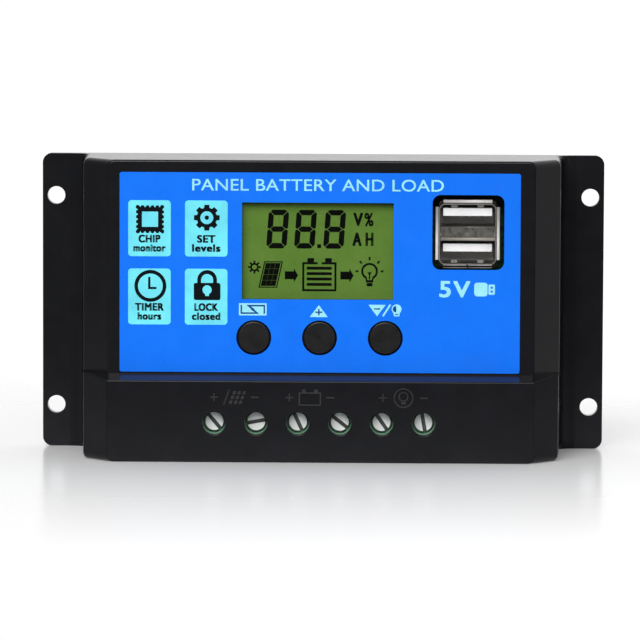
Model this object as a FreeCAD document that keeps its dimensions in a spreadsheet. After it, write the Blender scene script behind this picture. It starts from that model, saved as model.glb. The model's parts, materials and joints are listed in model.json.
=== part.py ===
import FreeCAD, Part
import Sketcher

import math
import os

# A wall-mounted solar charge controller with an LCD, three buttons, two USB outlets and six screw terminals.
# Frame: +X right, +Y into the wall, +Z up, in millimetres. The origin is the centre of the four mounting
# holes on the back plane. Depths, written d, are measured from that plane towards the viewer: y = -d.

doc = FreeCAD.newDocument("charge_controller")
Vector = FreeCAD.Vector
Rotation = FreeCAD.Rotation

DIMENSIONS = {
    # outer case
    "case_width": 133.5, "case_height": 70.0, "case_depth": 35.0, "panel_depth": 30.0,
    "wall": 2.0, "flange_thickness": 2.5, "flange_corner": 2.2, "bend_half": 60.25,
    "wall_foot_half": 56.75, "wall_foot_depth": 3.2, "wall_draft": 0.052, "foot_round": 3.0,
    "panel_shoulder_depth": 21.5, "terminal_shoulder_depth": 28.8, "front_half": 49.6,
    "ledge_top": -14.8, "ledge_drop": 1.2, "end_round": 1.6, "front_round": 0.5, "crease_round": 0.8,
    "mount_span_x": 127.0, "mount_span_z": 50.0, "mount_hole": 4.2,
    "boss_half_x": 47.0, "boss_half_z": 29.0, "boss_radius": 2.9, "boss_pilot": 1.1, "boss_foot": 2.2,
    # back plate
    "plate_gap": 0.3, "plate_thickness": 1.5, "plate_setback": 0.4, "plate_screw": 1.5,
    "plate_head": 2.7, "plate_head_height": 0.9,
    # front label and its openings
    "label_left": -46.95, "label_right": 46.35, "label_bottom": -14.5, "label_top": 32.25,
    "label_recess": 0.3, "label_thickness": 0.35, "label_gap": 0.1,
    "window_left": -18.4, "window_right": 16.8, "window_bottom": 2.65, "window_top": 25.2,
    "port_x": 34.15, "port_z": 18.45, "port_width": 16.7, "port_height": 17.4, "port_round": 1.9,
    "button_x": -0.3, "button_pitch": 15.3, "button_z": -6.3, "button_hole": 4.08, "button_radius": 3.8,
    "button_face_depth": 29.8, "button_lip": 4.9, "button_lip_thickness": 1.0, "button_lip_gap": 0.2,
    "cap_roof": 1.2, "cap_round": 0.35,
    # circuit board
    "board_back": 12.0, "board_thickness": 1.6, "board_half": 43.4, "board_low": -31.5, "board_high": 31.0,
    "low_hole_x": 40.4, "low_hole_z": -15.0, "high_hole_x": 23.0, "high_hole_z": 27.6, "board_hole": 1.6,
    "hex_radius": 3.0, "machine_shank": 1.34, "machine_head": 2.7, "machine_head_height": 1.8,
    "pin_tail": 0.8,
    # tactile switches
    "switch_side": 6.0, "switch_body": 3.2, "switch_cover": 0.3, "stem_radius": 1.7, "stem_fit": 0.08,
    "stem_sink": 2.4, "stem_foot": 1.4, "stem_foot_height": 1.2, "leg_level": 2.0, "leg_half": 0.35,
    "leg_thickness": 0.3,
    # liquid-crystal display
    "glass_front": 27.8, "glass_thickness": 2.2, "glass_margin": 2.4, "backlight_thickness": 3.6,
    "holder_wall": 1.0, "holder_floor": 1.0, "holder_fit": 0.1, "light_inset": 0.6,
    "lcd_pin_pitch": 2.54, "lcd_pin_drop": 3.0, "lcd_pin": 0.32,
    # USB connector
    "usb_x": 34.0, "usb_z": 18.2, "usb_width": 13.4, "usb_height": 15.0, "usb_front": 29.2, "usb_wall": 0.4,
    "usb_round": 0.9, "usb_divider": 4.1, "usb_divider_z": 18.1, "usb_lip_width": 15.0,
    "usb_lip_height": 15.7, "usb_lip_thickness": 0.75, "usb_lip_depth": 0.7, "tongue_width": 11.35,
    "tongue_thickness": 1.8, "tongue_upper_z": 23.07, "tongue_lower_z": 14.78, "tongue_front": 27.6,
    "usb_contact_pitch": 2.25, "usb_contact_half": 0.5, "usb_contact_thickness": 0.2,
    # terminal block
    "pole_pitch": 9.73, "pole_first": -24.67, "pole_z": -25.8, "screw_hole": 2.7, "module_half": 4.84,
    "block_low": -34.8, "block_high": -17.9, "block_front": 32.4, "head_radius": 2.25, "head_front": 30.8,
    "head_height": 1.8, "shank_radius": 1.6, "shank_fit": 0.08, "shank_tip": 22.5, "slot_width": 0.88,
    "slot_depth": 1.1, "well_gap": 0.38,
    "cage_half": 3.5, "cage_depth": 6.0, "cage_back": 15.2, "cage_inner_back": 16.4,
    "cage_inner_front": 22.6, "cage_front": 24.6, "cage_inner_half": 2.9, "cage_fit": 0.2,
    "cage_travel": 3.3, "bar_back": 21.0, "bar_thickness": 1.2, "bar_half": 2.4, "leg_z": -20.2,
    # power stage
    "pad_half": 31.0, "pad_low": -13.0, "pad_high": 9.0, "pad_thickness": 0.3, "power_first": -22.5,
    "power_pitch": 15.0, "power_half": 5.0, "tab_low": -8.0, "tab_high": 7.5, "tab_thickness": 1.3,
    "tab_hole": 1.8, "tab_hole_z": 4.8, "epoxy_high": 1.2, "epoxy_height": 4.5, "lead_pitch": 2.54,
    "lead_half": 0.4, "lead_height": 2.4, "lead_thickness": 0.5, "lead_reach": 3.6,
    # parts on the board
    "can_x": -35.0, "can_upper_z": 17.0, "can_lower_z": 3.0, "can_radius": 5.0, "can_height": 12.5,
    "can_groove": 0.5, "small_can_radius": 2.5, "small_can_height": 7.0,
    "inductor_x": 33.0, "inductor_z": -6.0, "inductor_half": 6.0, "inductor_height": 5.5,
    "inductor_window": 4.7, "drum_radius": 3.0, "coil_radius": 4.5, "coil_low": 1.4, "coil_high": 4.6,
    "chip_lift": 0.1, "chip_height": 1.6, "chip_foot": 1.0, "chip_foot_thickness": 0.3,
    "crystal_x": -15.0, "crystal_z": 15.25, "crystal_half_x": 2.0, "crystal_half_z": 5.25,
    "crystal_height": 3.4, "crystal_round": 1.6,
    "diode_z": -13.6, "diode_lift": 2.8, "diode_radius": 2.6, "diode_half": 4.5, "diode_wire": 0.6,
    "diode_reach": 6.1, "shunt_x": -35.0, "shunt_half": 4.0, "shunt_low": -11.0, "shunt_high": -9.4,
    "shunt_height": 5.0, "shunt_bar": 1.6, "shunt_roof": 1.2,
    "resistor_first": -20.0, "resistor_pitch": 4.0, "resistor_low": 1.4, "resistor_length": 2.0,
    "resistor_width": 1.25, "resistor_height": 0.55, "ceramic_first": 10.0, "ceramic_pitch": 3.2,
    "ceramic_low": -1.4, "ceramic_length": 1.8, "ceramic_width": 1.2, "ceramic_height": 0.9,
}

sheet = doc.addObject("Spreadsheet::Sheet", "dims")
for row, (name, value) in enumerate(DIMENSIONS.items(), start=1):
    sheet.set(f"A{row}", name)
    sheet.set(f"B{row}", str(value))
    sheet.setAlias(f"B{row}", name)
doc.recompute()


class Size:
    """A number that remembers its sheet expression, so sums and products stay bound to the sheet."""

    def __init__(self, value, text):
        self.value = float(value)
        self.text = text

    def __add__(self, other):
        return Size(self.value + number(other), f"({self.text} + {words(other)})")

    def __sub__(self, other):
        return Size(self.value - number(other), f"({self.text} - {words(other)})")

    def __mul__(self, other):
        return Size(self.value * number(other), f"({self.text} * {words(other)})")

    def __truediv__(self, other):
        return Size(self.value / number(other), f"({self.text} / {words(other)})")

    def __radd__(self, other):
        return Size(number(other) + self.value, f"({words(other)} + {self.text})")

    def __rsub__(self, other):
        return Size(number(other) - self.value, f"({words(other)} - {self.text})")

    def __rmul__(self, other):
        return self * other

    def __neg__(self):
        return Size(-self.value, f"(0 - {self.text})")


def number(thing):
    return thing.value if isinstance(thing, Size) else float(thing)


def words(thing):
    return thing.text if isinstance(thing, Size) else f"({float(thing):.6f})"


def cell(name):
    return Size(DIMENSIONS[name], f"dims.{name}")


def bind(thing, path, size):
    thing.setExpression(path, words(size))


# ---- Part primitives and booleans ----

TOWARDS_VIEWER = Rotation(Vector(1, 0, 0), 90)
UPRIGHT = Rotation()


def place(thing, x, y, z, rotation=UPRIGHT):
    thing.Placement = FreeCAD.Placement(Vector(number(x), number(y), number(z)), rotation)
    for axis, size in zip("xyz", (x, y, z)):
        bind(thing, f"Placement.Base.{axis}", size)


def slab(name, x, d, z):
    """A box from x[0] to x[1], d[0] to d[1] in depth and z[0] to z[1]."""
    box = doc.addObject("Part::Box", name)
    bind(box, "Length", x[1] - x[0])
    bind(box, "Width", d[1] - d[0])
    bind(box, "Height", z[1] - z[0])
    place(box, x[0], -1 * d[1], z[0])
    return box


def rod(name, x, z, d, radius):
    """A cylinder standing on depth d[0] and reaching d[1], along the viewing axis."""
    cylinder = doc.addObject("Part::Cylinder", name)
    bind(cylinder, "Radius", radius)
    bind(cylinder, "Height", d[1] - d[0])
    place(cylinder, x, -1 * d[0], z, TOWARDS_VIEWER)
    return cylinder


def fuse(name, pieces):
    union = doc.addObject("Part::MultiFuse", name)
    union.Shapes = pieces
    return union


def cut(name, base, tools):
    result = doc.addObject("Part::Cut", name)
    result.Base = base
    result.Tool = tools[0] if len(tools) == 1 else fuse(f"{name}_tools", tools)
    return result


def rounded_slab(name, box, radius):
    """The box with its four edges along the viewing axis rounded."""
    rounded = doc.addObject("Part::Fillet", name)
    rounded.Base = box
    doc.recompute()
    corners = [index for index, edge in enumerate(box.Shape.Edges, start=1) if runs_along(edge, "y")]
    rounded.Edges = [(index, number(radius), number(radius)) for index in corners]
    return rounded


def group(name, pieces):
    """Separate solids that share one node."""
    compound = doc.addObject("Part::Compound", name)
    compound.Links = pieces
    return compound


# ---- PartDesign bodies ----

def new_body(name):
    body = doc.addObject("PartDesign::Body", name)
    body.Label = name
    return body


def new_sketch(body, name, role, offset):
    """An empty sketch on one of the body's origin planes, moved by offset along the plane's normal."""
    sketch = body.newObject("Sketcher::SketchObject", name)
    plane = next(item for item in body.Origin.OriginFeatures if item.Role == role)
    sketch.AttachmentSupport = [(plane, "")]
    sketch.MapMode = "FlatFace"
    sketch.AttachmentOffset = FreeCAD.Placement(Vector(0, 0, number(offset)), Rotation())
    bind(sketch, "AttachmentOffset.Base.z", offset)
    return sketch


def pin_point(sketch, geometry, position, u, v):
    """Fixes one point of the sketch at (u, v) from the sketch's origin, both bound to the sheet."""
    for kind, size in (("DistanceX", u), ("DistanceY", v)):
        index = sketch.addConstraint(Sketcher.Constraint(kind, -1, 1, geometry, position, number(size)))
        sketch.renameConstraint(index, f"c{index}")
        bind(sketch, f"Constraints.c{index}", size)


def draw_outline(sketch, points):
    """A closed outline of straight lines, with every corner pinned."""
    first = sketch.GeometryCount
    corners = [Vector(number(u), number(v), 0) for u, v in points]
    for here, there in zip(corners, corners[1:] + corners[:1]):
        sketch.addGeometry(Part.LineSegment(here, there))
    for index in range(len(points)):
        follower = first + (index + 1) % len(points)
        sketch.addConstraint(Sketcher.Constraint("Coincident", first + index, 2, follower, 1))
    for index, (u, v) in enumerate(points):
        pin_point(sketch, first + index, 1, u, v)


def draw_box(sketch, u, v):
    draw_outline(sketch, [(u[0], v[0]), (u[1], v[0]), (u[1], v[1]), (u[0], v[1])])


def draw_circle(sketch, u, v, radius):
    centre = Vector(number(u), number(v), 0)
    circle = sketch.addGeometry(Part.Circle(centre, Vector(0, 0, 1), number(radius)))
    pin_point(sketch, circle, 3, u, v)
    index = sketch.addConstraint(Sketcher.Constraint("Radius", circle, number(radius)))
    sketch.renameConstraint(index, f"c{index}")
    bind(sketch, f"Constraints.c{index}", radius)


def extrude(body, kind, name, sketch, length, reverse=False, midplane=False):
    """A Pad or a Pocket, checked to have changed the body's volume."""
    before = body.Shape.Volume if body.Tip else 0.0
    feature = body.newObject(f"PartDesign::{kind}", name)
    feature.Profile = sketch
    feature.Reversed = reverse
    if midplane:
        feature.SideType = "Symmetric"
    bind(feature, "Length", length)
    doc.recompute()
    if abs(body.Shape.Volume - before) < 1e-6:
        raise RuntimeError(f"{name} changed nothing")
    return feature


def round_edges(body, name, radius, wanted, kind="Fillet"):
    """Rounds the edges of the body's last feature that wanted(edge) picks."""
    base = body.Tip
    chosen = [f"Edge{index}" for index, edge in enumerate(base.Shape.Edges, start=1) if wanted(edge)]
    if not chosen:
        raise RuntimeError(f"{name} found no edges")
    feature = body.newObject(f"PartDesign::{kind}", name)
    feature.Base = (base, chosen)
    bind(feature, "Radius" if kind == "Fillet" else "Size", radius)
    doc.recompute()
    return feature


def runs_along(edge, axis):
    """True for a straight edge parallel to the named axis."""
    if len(edge.Vertexes) != 2:
        return False
    chord = edge.Vertexes[1].Point - edge.Vertexes[0].Point
    return abs(abs(getattr(chord, axis)) - edge.Length) < 1e-6


def is_closed(edge):
    """True for an edge that ends where it starts, such as a hole's rim."""
    return len(edge.Vertexes) == 1


def near(value, target, slack=0.05):
    return abs(value - number(target)) < slack


# ---- the case ----

half_width = cell("case_width") / 2
half_height = cell("case_height") / 2
wall = cell("wall")
panel_depth = cell("panel_depth")
case_depth = cell("case_depth")
panel_inside = panel_depth - wall
terminal_inside = case_depth - wall


def side_wall(depth):
    """Half-width of the case's outer side wall at a depth: it leans in a little, for the mould."""
    return cell("wall_foot_half") - cell("wall_draft") * (depth - cell("wall_foot_depth"))


def mirrored(points):
    """Closes a right-hand half outline, given as (half-width, depth), with its left-hand mirror image."""
    right = [(x, -1 * depth) for x, depth in points]
    left = [(-1 * x, y) for x, y in reversed(right)]
    return right + left


def case_outline(shoulder, front):
    return [(side_wall(shoulder), shoulder), (cell("front_half"), front)]


def cavity_outline(shoulder, front):
    inner_shoulder = shoulder - wall * 0.45
    corner = (cell("front_half") - wall * 0.6, front - wall)
    return [(side_wall(inner_shoulder) - wall, inner_shoulder), corner]


def pole_x(index):
    """Centre of terminal pole 0 to 5, counted from the left."""
    return cell("pole_first") + cell("pole_pitch") * index


def button_centre(index):
    return cell("button_x") + cell("button_pitch") * (index - 1)


port_x = (cell("port_x") - cell("port_width") / 2, cell("port_x") + cell("port_width") / 2)
port_z = (cell("port_z") - cell("port_height") / 2, cell("port_z") + cell("port_height") / 2)
window_x = (cell("window_left"), cell("window_right"))
window_z = (cell("window_bottom"), cell("window_top"))
boss_places = [(cell("boss_half_x") * sx, cell("boss_half_z") * sz) for sx in (-1, 1) for sz in (-1, 1)]
low_boss_places = boss_places[::2]
board_front = cell("board_back") + cell("board_thickness")
pin_tip = cell("board_back") - cell("pin_tail")
BREAKTHROUGH = 1.0
SIDES = (-1, 1)
TERMINAL_OVERLAP = 4.0
PILOT_DEPTH = 12.0


def port_corner(edge):
    """True for an edge at a corner of the USB opening."""
    middle = edge.CenterOfMass
    beside = any(near(middle.x, side) for side in port_x) and any(near(middle.z, side) for side in port_z)
    return runs_along(edge, "y") and beside


def build_front_shell():
    """The black moulding: flanges, display panel, raised terminal housing, openings and screw bosses."""
    body = new_body("front_shell")
    flange = cell("flange_thickness")
    shoulder = cell("panel_shoulder_depth")
    foot = (cell("wall_foot_half"), cell("wall_foot_depth"))
    panel_half = [(half_width, 0.0), (half_width, flange), (cell("bend_half"), flange), foot]
    sketch = new_sketch(body, "panel_profile", "XY_Plane", -half_height)
    draw_outline(sketch, mirrored(panel_half + case_outline(shoulder, panel_depth)))
    extrude(body, "Pad", "panel_block", sketch, half_height * 2)

    sketch = new_sketch(body, "terminal_profile", "XY_Plane", -half_height)
    terminal_foot = shoulder - TERMINAL_OVERLAP
    outline = [(side_wall(terminal_foot), terminal_foot)]
    outline += case_outline(cell("terminal_shoulder_depth"), case_depth)
    draw_outline(sketch, mirrored(outline))
    extrude(body, "Pad", "terminal_block", sketch, cell("ledge_top") + half_height)

    sketch = new_sketch(body, "ledge_slope", "YZ_Plane", 0)
    past_front = case_depth + BREAKTHROUGH
    drop = cell("ledge_drop") * (past_front - panel_depth) / (case_depth - panel_depth)
    ledge = cell("ledge_top")
    draw_outline(sketch, [(-panel_depth, ledge), (-past_front, ledge), (-past_front, ledge - drop)])
    extrude(body, "Pocket", "ledge_cut", sketch, half_width * 2, midplane=True)

    ends = cell("case_height") / 2

    def at_an_end(edge):
        return near(abs(edge.CenterOfMass.z), ends, 0.01)

    def side_end(edge):
        middle = edge.CenterOfMass
        return at_an_end(edge) and -middle.y > 6 and not runs_along(edge, "x")

    def foot_crease(edge):
        middle = edge.CenterOfMass
        return runs_along(edge, "z") and near(abs(middle.x), foot[0]) and near(-middle.y, foot[1])

    def front_end(edge):
        return at_an_end(edge) and runs_along(edge, "x") and -edge.CenterOfMass.y > 20

    def long_crease(edge):
        return runs_along(edge, "z") and -edge.CenterOfMass.y > 15

    def flange_corner(edge):
        return runs_along(edge, "y") and near(abs(edge.CenterOfMass.x), half_width)

    def ledge_edge(edge):
        return runs_along(edge, "x") and near(-edge.CenterOfMass.y, case_depth) and edge.CenterOfMass.z > -20

    round_edges(body, "rounded_side_ends", cell("end_round"), side_end)
    round_edges(body, "rounded_front_ends", cell("front_round"), front_end)
    round_edges(body, "rounded_creases", cell("crease_round"), long_crease)
    round_edges(body, "rounded_feet", cell("foot_round"), foot_crease)
    round_edges(body, "rounded_ledge", cell("front_round") * 0.6, ledge_edge)
    round_edges(body, "rounded_flange_corners", cell("flange_corner"), flange_corner)

    cavity_end = half_height - wall
    sketch = new_sketch(body, "cavity_profile", "XY_Plane", cavity_end)
    opening = [(side_wall(0) - wall, -BREAKTHROUGH)]
    draw_outline(sketch, mirrored(opening + cavity_outline(shoulder, panel_depth)))
    extrude(body, "Pocket", "cavity", sketch, cavity_end * 2)
    sketch = new_sketch(body, "terminal_cavity_profile", "XY_Plane", cell("ledge_top") - wall)
    start = [(side_wall(terminal_foot) - wall * 1.2, terminal_foot)]
    draw_outline(sketch, mirrored(start + cavity_outline(cell("terminal_shoulder_depth"), case_depth)))
    extrude(body, "Pocket", "terminal_cavity", sketch, cell("ledge_top") - wall + cavity_end)

    sketch = new_sketch(body, "boss_circles", "XZ_Plane", cell("boss_foot"))
    for x, z in boss_places:
        draw_circle(sketch, x, z, cell("boss_radius"))
    extrude(body, "Pad", "bosses", sketch, panel_inside + 0.5 - cell("boss_foot"))
    sketch = new_sketch(body, "low_boss_circles", "XZ_Plane", panel_inside - BREAKTHROUGH)
    for x, z in low_boss_places:
        draw_circle(sketch, x, z, cell("boss_radius"))
    extrude(body, "Pad", "low_boss_tops", sketch, terminal_inside - panel_inside + BREAKTHROUGH + 0.4)
    sketch = new_sketch(body, "pilot_circles", "XZ_Plane", cell("boss_foot"))
    for x, z in boss_places:
        draw_circle(sketch, x, z, cell("boss_pilot"))
    extrude(body, "Pocket", "pilot_holes", sketch, PILOT_DEPTH, reverse=True)

    sketch = new_sketch(body, "label_outline", "XZ_Plane", panel_depth)
    draw_box(sketch, (cell("label_left"), cell("label_right")), (cell("label_bottom"), cell("label_top")))
    extrude(body, "Pocket", "label_recess", sketch, cell("label_recess"))
    sketch = new_sketch(body, "panel_openings", "XZ_Plane", panel_depth + BREAKTHROUGH)
    draw_box(sketch, window_x, window_z)
    draw_box(sketch, port_x, port_z)
    for index in range(3):
        draw_circle(sketch, button_centre(index), cell("button_z"), cell("button_hole"))
    extrude(body, "Pocket", "panel_holes", sketch, wall + 2 * BREAKTHROUGH)
    sketch = new_sketch(body, "screwdriver_circles", "XZ_Plane", case_depth + BREAKTHROUGH)
    for index in range(6):
        draw_circle(sketch, pole_x(index), cell("pole_z"), cell("screw_hole"))
    extrude(body, "Pocket", "screwdriver_holes", sketch, wall + 2 * BREAKTHROUGH)
    sketch = new_sketch(body, "mounting_circles", "XZ_Plane", flange + BREAKTHROUGH)
    for sx in SIDES:
        for sz in SIDES:
            centre = (cell("mount_span_x") / 2 * sx, cell("mount_span_z") / 2 * sz)
            draw_circle(sketch, *centre, cell("mount_hole") / 2)
    extrude(body, "Pocket", "mounting_holes", sketch, flange + 2 * BREAKTHROUGH)
    sketch = new_sketch(body, "wire_opening_outline", "XY_Plane", -cavity_end + BREAKTHROUGH)
    reach = cell("module_half") + 0.3
    opening_y = (-1 * cell("block_front") - 0.3, 0.3 - board_front)
    draw_box(sketch, (pole_x(0) - reach, pole_x(5) + reach), opening_y)
    extrude(body, "Pocket", "wire_opening", sketch, wall + 2 * BREAKTHROUGH)

    def driver_rim(edge):
        return is_closed(edge) and near(-edge.CenterOfMass.y, case_depth, 0.02)

    round_edges(body, "rounded_port", cell("port_round"), port_corner)
    round_edges(body, "eased_screwdriver_rims", cell("front_round") * 0.5, driver_rim)
    return body


def build_back_plate():
    """The aluminium plate that closes the case and carries the power transistors' heat away."""
    body = new_body("back_plate")
    half_x = side_wall(0) - wall - cell("plate_gap")
    half_z = half_height - wall - cell("plate_gap")
    sketch = new_sketch(body, "plate_outline", "XZ_Plane", cell("plate_setback"))
    draw_box(sketch, (-half_x, half_x), (-half_z, half_z))
    extrude(body, "Pad", "plate", sketch, cell("plate_thickness"))
    sketch = new_sketch(body, "plate_screw_circles", "XZ_Plane", cell("plate_setback") - BREAKTHROUGH)
    for x, z in boss_places:
        draw_circle(sketch, x, z, cell("plate_screw"))
    extrude(body, "Pocket", "plate_screw_holes", sketch, cell("plate_thickness") + 2, reverse=True)
    sketch = new_sketch(body, "countersink_circles", "XZ_Plane", cell("plate_setback") - BREAKTHROUGH)
    for x, z in boss_places:
        draw_circle(sketch, x, z, cell("plate_head") + 0.1)
    extrude(body, "Pocket", "countersinks", sketch, cell("plate_head_height") + BREAKTHROUGH, reverse=True)

    def plate_corner(edge):
        return runs_along(edge, "y") and near(abs(edge.CenterOfMass.x), half_x)

    def back_rim(edge):
        return near(-edge.CenterOfMass.y, cell("plate_setback"), 0.01) and not is_closed(edge)

    round_edges(body, "rounded_plate_corners", 1.5, plate_corner)
    round_edges(body, "broken_back_edge", 0.2, back_rim)
    return body


def cross_recess(name, x, z, depths, reach):
    """The two crossed slots of a driver recess."""
    width = reach * 0.36
    across = slab(f"{name}_across", (x - reach, x + reach), depths, (z - width / 2, z + width / 2))
    upright = slab(f"{name}_upright", (x - width / 2, x + width / 2), depths, (z - reach, z + reach))
    return [across, upright]


def build_back_plate_screws():
    back = cell("plate_setback") + 0.05
    screws = []
    for index, (x, z) in enumerate(boss_places):
        name = f"plate_screw_{index}"
        head_top = back + cell("plate_head_height") - 0.1
        shank = rod(f"{name}_shank", x, z, (head_top - 0.1, head_top + 8), cell("boss_pilot") - 0.02)
        head = rod(f"{name}_head", x, z, (back, head_top), cell("plate_head"))
        blank = fuse(f"{name}_blank", [head, shank])
        recess = cross_recess(name, x, z, (back - 0.5, back + 0.6), cell("plate_head") * 0.6)
        screws.append(cut(name, blank, recess))
    return group("back_plate_screws", screws)


def build_label_film():
    """The printed polyester overlay, with openings for the display, the USB outlets and the buttons."""
    body = new_body("label_film")
    gap = cell("label_gap")
    base = panel_depth - cell("label_recess")
    sketch = new_sketch(body, "film_outline", "XZ_Plane", base)
    draw_box(sketch, (cell("label_left") + gap, cell("label_right") - gap),
             (cell("label_bottom") + gap, cell("label_top") - gap))
    draw_box(sketch, window_x, window_z)
    draw_box(sketch, port_x, port_z)
    for index in range(3):
        draw_circle(sketch, button_centre(index), cell("button_z"), cell("button_hole"))
    extrude(body, "Pad", "film", sketch, cell("label_thickness"))

    def film_corner(edge):
        middle = edge.CenterOfMass
        outer = abs(middle.x) > 40 and (middle.z > 30 or middle.z < -10)
        return runs_along(edge, "y") and outer

    round_edges(body, "rounded_film_port", cell("port_round"), port_corner)
    round_edges(body, "rounded_film_corners", 0.5, film_corner)
    return body


# ---- buttons and their switches ----

BUTTON_NAMES = ("menu", "up", "down")
switch_top = board_front + cell("switch_body") + cell("switch_cover")
cap_back = panel_inside - cell("button_lip_thickness") - cell("button_lip_gap")
stem_top = cell("button_face_depth") - cell("cap_roof")


def build_button_cap(index):
    """A round cap with a lip behind the panel and a blind socket that sits on the switch's stem."""
    x = button_centre(index)
    z = cell("button_z")
    name = f"{BUTTON_NAMES[index]}_button_cap"
    body = new_body(name)
    sketch = new_sketch(body, f"{name}_lip_circle", "XZ_Plane", cap_back)
    draw_circle(sketch, x, z, cell("button_lip"))
    extrude(body, "Pad", f"{name}_lip", sketch, cell("button_lip_thickness"))
    sketch = new_sketch(body, f"{name}_circle", "XZ_Plane", cap_back)
    draw_circle(sketch, x, z, cell("button_radius"))
    extrude(body, "Pad", f"{name}_barrel", sketch, cell("button_face_depth") - cap_back)
    sketch = new_sketch(body, f"{name}_socket_circle", "XZ_Plane", cap_back)
    draw_circle(sketch, x, z, cell("stem_radius"))
    extrude(body, "Pocket", f"{name}_socket", sketch, stem_top - cap_back, reverse=True)

    def face_rim(edge):
        return near(-edge.CenterOfMass.y, cell("button_face_depth"), 0.01)

    round_edges(body, f"{name}_rim", cell("cap_round"), face_rim)
    return body


def build_switch_plunger(index):
    """The long stem that the cap pushes into the switch."""
    x = button_centre(index)
    z = cell("button_z")
    start = switch_top - cell("stem_sink")
    foot_top = start + cell("stem_foot_height")
    foot = rod(f"plunger_foot_{index}", x, z, (start, foot_top), cell("stem_foot"))
    stem = rod(f"plunger_stem_{index}", x, z, (foot_top - 0.4, stem_top), cell("stem_radius"))
    return fuse(f"{BUTTON_NAMES[index]}_switch_plunger", [foot, stem])


def build_switch_bodies():
    half = cell("switch_side") / 2
    switches = []
    for index in range(3):
        x = button_centre(index)
        z = cell("button_z")
        case = slab(f"switch_case_{index}", (x - half, x + half),
                    (board_front, board_front + cell("switch_body")), (z - half, z + half))
        depth = (board_front + 0.4, switch_top)
        well = rod(f"switch_well_{index}", x, z, depth, cell("stem_radius") + cell("stem_fit"))
        switches.append(cut(f"switch_body_{index}", case, [well]))
    return group("tact_switch_bodies", switches)


def build_switch_covers():
    """The stamped steel cover plate of each switch, with its four solder legs."""
    half = cell("switch_side") / 2
    covers = []
    for index in range(3):
        x = button_centre(index)
        z = cell("button_z")
        plate = slab(f"cover_plate_{index}", (x - half, x + half),
                     (board_front + cell("switch_body"), switch_top), (z - half, z + half))
        hole = rod(f"cover_hole_{index}", x, z, (board_front, switch_top + 1), cell("stem_radius") + 0.15)
        legs = []
        outer = half + cell("leg_thickness")
        for side, span in (("left", (x - outer, x - half)), ("right", (x + half, x + outer))):
            for sz in SIDES:
                level = z + cell("leg_level") * sz
                legs.append(slab(f"leg_{index}_{side}_{sz}", span, (pin_tip, switch_top),
                                 (level - cell("leg_half"), level + cell("leg_half"))))
        covers.append(cut(f"switch_cover_{index}", fuse(f"cover_blank_{index}", [plate] + legs), [hole]))
    return group("tact_switch_covers", covers)


# ---- the display ----

LCD_PINS = 12
lcd_pin_z = cell("window_top") + cell("glass_margin") - cell("lcd_pin_drop")


def lcd_pin_x(index):
    middle = (cell("window_left") + cell("window_right")) / 2
    return middle + cell("lcd_pin_pitch") * (index - (LCD_PINS - 1) / 2)


def build_display():
    """Glass, backlight, holder and pins of the liquid-crystal display, behind the panel window."""
    margin = cell("glass_margin")
    x = (cell("window_left") - margin, cell("window_right") + margin)
    z = (cell("window_bottom") - margin, cell("window_top") + margin)
    front = cell("glass_front")
    glass_back = front - cell("glass_thickness")
    light_back = glass_back - cell("backlight_thickness")
    floor = light_back - cell("holder_floor")
    rim = cell("holder_wall")
    fit = cell("holder_fit")
    glass = slab("lcd_glass", x, (glass_back, front), z)
    inset = cell("light_inset")
    backlight = slab("lcd_backlight", (x[0] + inset, x[1] - inset), (light_back, glass_back),
                     (z[0] + inset, z[1] - inset))
    outer = slab("holder_outer", (x[0] - rim - fit, x[1] + rim + fit), (floor, front - inset),
                 (z[0] - rim - fit, z[1] + rim + fit))
    inner = slab("holder_inner", (x[0] - fit, x[1] + fit), (light_back, front), (z[0] - fit, z[1] + fit))
    holder = cut("lcd_holder", outer, [inner])
    pins = [rod(f"lcd_pin_{index}", lcd_pin_x(index), lcd_pin_z, (pin_tip, floor), cell("lcd_pin"))
            for index in range(LCD_PINS)]
    return [glass, backlight, holder, group("lcd_pins", pins)]


# ---- the USB connector ----

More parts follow.
